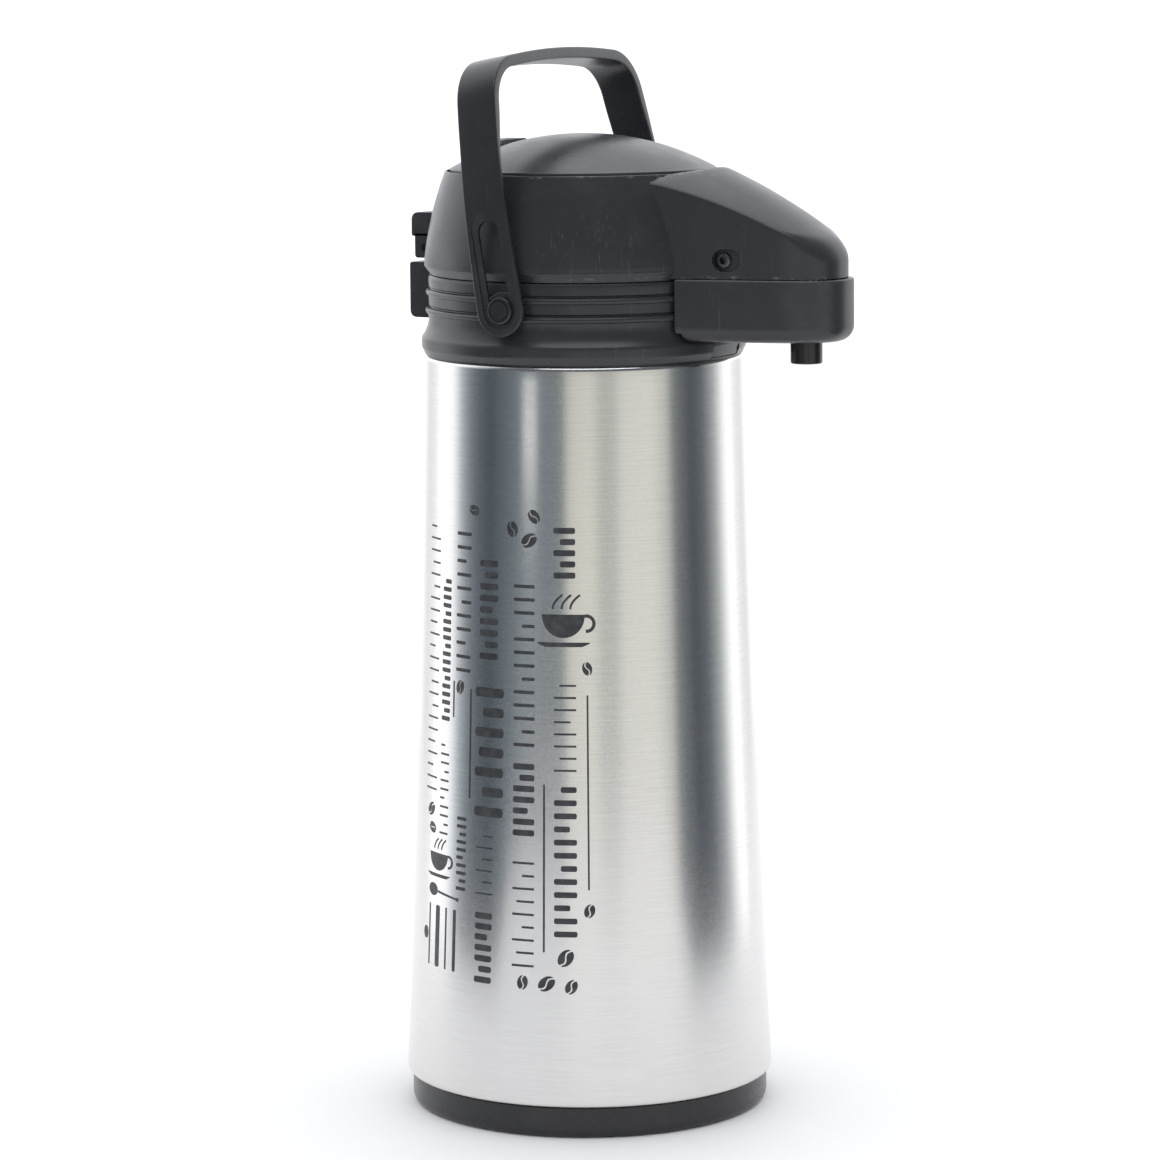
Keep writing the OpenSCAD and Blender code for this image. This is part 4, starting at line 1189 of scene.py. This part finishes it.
def build_print(outlines):
    """Flat outlines in (u, z), laid on the curved steel as a thin film of ink."""
    bm = bmesh.new()
    for ring in outlines:
        face = bm.faces.new([bm.verts.new((u, z, 0)) for u, z in ring])
        face.normal_update()
        if face.normal.z < 0:
            face.normal_flip()
    for i in range(-34, 35):
        u = i * 3.0
        geometry = bm.verts[:] + bm.edges[:] + bm.faces[:]
        bmesh.ops.bisect_plane(bm, geom=geometry, plane_co=(u, 0, 0), plane_no=(1, 0, 0), dist=1e-5)
    bmesh.ops.triangulate(bm, faces=bm.faces)
    made = bmesh.ops.extrude_face_region(bm, geom=bm.faces[:])
    top = {v for v in made["geom"] if isinstance(v, bmesh.types.BMVert)}
    for v in bm.verts:
        lift = INK_LIFT if v in top else -0.05
        v.co = Vector(on_shell(v.co.x, v.co.y, lift)) * MM
    bmesh.ops.recalc_face_normals(bm, faces=bm.faces)
    mesh = bpy.data.meshes.new("printed_pattern")
    bm.to_mesh(mesh)
    bm.free()
    obj = bpy.data.objects.new("printed_pattern", mesh)
    bpy.context.scene.collection.objects.link(obj)
    clean(obj)
    shade(obj, 40)
    dress(obj, ink, "base_plastic", "flask_body")


build_shell()
build_base_ring()
build_bottom_cap()
build_collar()
build_bracket()
build_handle()
build_pins()
build_lid()
build_lower_cover()
build_nozzle()
build_pivot_screws()
build_pad()
build_lock()
build_bellows_and_springs()
build_print(print_outlines())

# ---------------------------------------------------------------- parts kept from the CAD

KEPT = {
    "base_screws": screw_metal, "bottom_cushion": grey_rubber, "flask_outer_glass": silvered_glass,
    "flask_inner_glass": silvered_glass, "spacer_pads": felt, "neck_gasket": grey_rubber,
    "bracket_screws": screw_metal, "hinge_pin": dark_pin, "riser_holder": natural_plastic,
    "riser_tube": natural_plastic, "release_button": body_plastic,
    "lid_floor": lid_plastic, "lid_screws": screw_metal, "stopper_ring": lid_plastic,
    "lid_gasket": grey_rubber, "riser_seal": grey_rubber, "outlet_pipe": natural_plastic,
    "spout_screws": screw_metal, "bellows_base": natural_plastic, "air_valve": grey_rubber,
    "pressure_plate": natural_plastic,
}
for node, material in KEPT.items():
    obj = frame["nodes"][node]
    for place in obj.material_slots:
        place.material = material

# ---------------------------------------------------------------- camera, floor and light

TURN = 29 * DEG            # how far the camera stands round from -X towards -Y
RISE = 8.085 * DEG         # height of the camera's line of sight
DISTANCE = 1746.9
ROLL = -0.468 * DEG
SENSOR = 36
LENS = 3.8793103 * SENSOR  # the focal length is 3.88 picture widths
AIM_SIDE, AIM_HEIGHT = -2.33, 204.5

right = Vector((math.sin(TURN), -math.cos(TURN), 0))
forward_flat = Vector((math.cos(TURN), math.sin(TURN), 0))
target = right * AIM_SIDE + Vector((0, 0, AIM_HEIGHT))
forward = forward_flat * math.cos(RISE) - Vector((0, 0, math.sin(RISE)))
up = right.cross(forward)
camera_right = right * math.cos(ROLL) + up * math.sin(ROLL)
camera_up = up * math.cos(ROLL) - right * math.sin(ROLL)
spot = (target - forward * DISTANCE) * MM

camera_data = bpy.data.cameras.new("camera")
camera_data.lens = LENS
camera_data.sensor_width = SENSOR
camera_data.sensor_fit = "HORIZONTAL"
camera_data.clip_start = 0.05
camera_data.clip_end = 30
camera = bpy.data.objects.new("camera", camera_data)
camera.matrix_world = Matrix((
    (camera_right.x, camera_up.x, -forward.x, spot.x),
    (camera_right.y, camera_up.y, -forward.y, spot.y),
    (camera_right.z, camera_up.z, -forward.z, spot.z),
    (0, 0, 0, 1)))
bpy.context.scene.collection.objects.link(camera)
bpy.context.scene.camera = camera

FLOOR_HALF = 40            # metres
floor_mesh = bpy.data.meshes.new("floor")
floor_mesh.from_pydata([
    (-FLOOR_HALF, -FLOOR_HALF, 0), (FLOOR_HALF, -FLOOR_HALF, 0),
    (FLOOR_HALF, FLOOR_HALF, 0), (-FLOOR_HALF, FLOOR_HALF, 0)], [], [(0, 1, 2, 3)])
floor = bpy.data.objects.new("floor", floor_mesh)
bpy.context.scene.collection.objects.link(floor)
floor_look = Nodes("floor")
floor_tone = floor_look.noise(3, 2.0)
floor.data.materials.append(floor_look.finish(
    floor_look.mix(floor_tone, (0.535, 0.524, 0.508), (0.549, 0.537, 0.522)), 0.7))


def tones_round(n, around, stops):
    """A colour that changes with the angle round the object; stops are (degrees, colour)."""
    ramp = n.tree.nodes.new("ShaderNodeValToRGB")
    first, last = stops[0][0], stops[-1][0]
    n.put(ramp.inputs["Fac"], n.remap(around, first * DEG, last * DEG, 0, 1))
    while len(ramp.color_ramp.elements) > 1:
        ramp.color_ramp.elements.remove(ramp.color_ramp.elements[0])
    for k, (angle, tone) in enumerate(stops):
        place = (angle - first) / (last - first)
        stop = ramp.color_ramp.elements[0] if k == 0 else ramp.color_ramp.elements.new(place)
        stop.position = place
        stop.color = (*tone, 1)
    return ramp.outputs["Color"]


def glow(name, strength=1.0, low_tones=None, high_tones=None):
    """An emitting stage material, white or with tones that change round the object."""
    n = Nodes(name)
    output = n.tree.nodes["Material Output"]
    light = n.add("ShaderNodeEmission")
    light.inputs["Color"].default_value = (1, 1, 1, 1)
    if low_tones:
        parts = n.add("ShaderNodeSeparateXYZ", Vector=n.place)
        around = n.math("ARCTAN2", parts.outputs["Y"], parts.outputs["X"])
        above = n.remap(parts.outputs["Z"], 0.30, 0.42, 0, 1)
        n.put(light.inputs["Color"], n.mix(above, tones_round(n, around, low_tones),
                                           tones_round(n, around, high_tones)))
    light.inputs["Strength"].default_value = strength
    n.tree.links.new(light.outputs["Emission"], output.inputs["Surface"])
    return n.material


def unseen(obj):
    """A stage piece that shows only in reflections."""
    obj.visible_camera = False
    obj.visible_diffuse = False
    obj.visible_shadow = False
    obj.visible_transmission = False


# a ring of soft flags and reflectors round the object, as (degrees from the camera, distance)
FLAGS = [
    (-180, 0.95), (-150, 0.90), (-116, 0.45), (-75, 0.45), (-60, 0.48), (-48, 0.80), (-40, 0.92),
    (0, 0.95), (50, 0.95), (60, 0.60), (68, 0.45), (118, 0.45), (150, 0.90), (180, 0.95),
]
# tones of the ring at the height of the steel, as (degrees from the camera, colour)
TONES = [
    (-180, (0.82, 0.84, 0.86)), (-160, (1.30, 1.31, 1.33)), (-142, (0.96, 0.97, 0.99)),
    (-126, (1.15, 1.16, 1.18)), (-116, (1.60, 1.62, 1.65)), (-100, (1.30, 1.34, 1.40)),
    (-92, (0.50, 0.55, 0.60)),
    (-84, (0.23, 0.26, 0.29)), (-76, (0.13, 0.155, 0.18)), (-66, (0.075, 0.095, 0.115)),
    (-56, (0.14, 0.17, 0.20)), (-44, (0.20, 0.24, 0.27)), (-22, (0.22, 0.25, 0.275)),
    (-15, (0.24, 0.26, 0.27)), (-12, (0.76, 0.77, 0.71)), (4, (0.86, 0.86, 0.79)),
    (11, (0.60, 0.61, 0.58)), (19, (0.60, 0.61, 0.58)), (25, (0.86, 0.86, 0.81)),
    (46, (0.90, 0.90, 0.84)), (57, (0.68, 0.69, 0.66)), (62, (0.22, 0.24, 0.25)),
    (75, (0.08, 0.095, 0.115)), (87, (0.15, 0.17, 0.19)), (99, (0.48, 0.51, 0.53)),
    (110, (1.30, 1.32, 1.35)), (118, (1.60, 1.62, 1.65)), (126, (1.15, 1.16, 1.18)),
    (142, (0.96, 0.97, 0.99)), (160, (1.30, 1.31, 1.33)), (180, (0.82, 0.84, 0.86)),
]
# tones of the ring above the lid
HIGH_TONES = [
    (-180, (1.30, 1.32, 1.36)), (-116, (1.60, 1.62, 1.66)), (-97, (1.35, 1.38, 1.44)),
    (-82, (0.70, 0.73, 0.78)), (-66, (0.15, 0.16, 0.175)), (70, (0.13, 0.14, 0.155)),
    (90, (0.46, 0.48, 0.51)), (104, (1.05, 1.08, 1.13)), (118, (1.60, 1.62, 1.66)),
    (180, (1.30, 1.32, 1.36)),
]


def build_flags():
    vertices, faces = [], []
    first, last = FLAGS[0][0], FLAGS[-1][0]
    count = last - first
    for i in range(count + 1):
        angle = first + i
        k = max(j for j in range(len(FLAGS) - 1) if FLAGS[j][0] <= angle)
        (a0, d0), (a1, d1) = FLAGS[k], FLAGS[k + 1]
        t = min(1.0, (angle - a0) / (a1 - a0))
        distance = d0 + (d1 - d0) * t * t * (3 - 2 * t)
        for z in (0.001, 0.2, 0.4, 1.5):
            vertices.append((distance * math.cos(angle * DEG), distance * math.sin(angle * DEG), z))
    for i in range(count):
        for k in range(3):
            a = i * 4 + k
            faces.append((a, a + 4, a + 5, a + 1))
    mesh = bpy.data.meshes.new("soft_flags")
    mesh.from_pydata(vertices, [], faces)
    flags = bpy.data.objects.new("soft_flags", mesh)
    bpy.context.scene.collection.objects.link(flags)
    flags.rotation_euler.z = math.pi + TURN
    flags.data.materials.append(glow("soft_flags", low_tones=TONES, high_tones=HIGH_TONES))
    unseen(flags)


LAMP_TURN = -38 * DEG      # from the camera's direction
LAMP_DISTANCE = 0.84
LAMP_HEIGHT = 0.226
LAMP_HALF_WIDTH = 0.085
LAMP_HALF_HEIGHT = 0.026


def build_lamp():
    """A small lamp low on the camera's left, seen as a soft spot near the top of the steel."""
    angle = math.pi + TURN + LAMP_TURN
    centre = Vector((LAMP_DISTANCE * math.cos(angle), LAMP_DISTANCE * math.sin(angle), LAMP_HEIGHT))
    away = Vector((math.cos(angle), math.sin(angle), 0))
    side = Vector((-away.y, away.x, 0))
    count = 40
    ring = [centre + side * LAMP_HALF_WIDTH * math.cos(2 * math.pi * k / count)
            + Vector((0, 0, LAMP_HALF_HEIGHT * math.sin(2 * math.pi * k / count))) for k in range(count)]
    mesh = bpy.data.meshes.new("round_lamp")
    mesh.from_pydata(ring, [], [tuple(range(count))])
    lamp = bpy.data.objects.new("round_lamp", mesh)
    bpy.context.scene.collection.objects.link(lamp)
    lamp.data.materials.append(glow("round_lamp", strength=1.7))
    unseen(lamp)


build_flags()
build_lamp()

world = bpy.data.worlds.new("studio")
bpy.context.scene.world = world
world.use_nodes = True
background = world.node_tree.nodes["Background"]
background.inputs["Color"].default_value = (0.95, 0.98, 1.04, 1)
background.inputs["Strength"].default_value = 2.15

bpy.context.scene.view_settings.view_transform = "Standard"
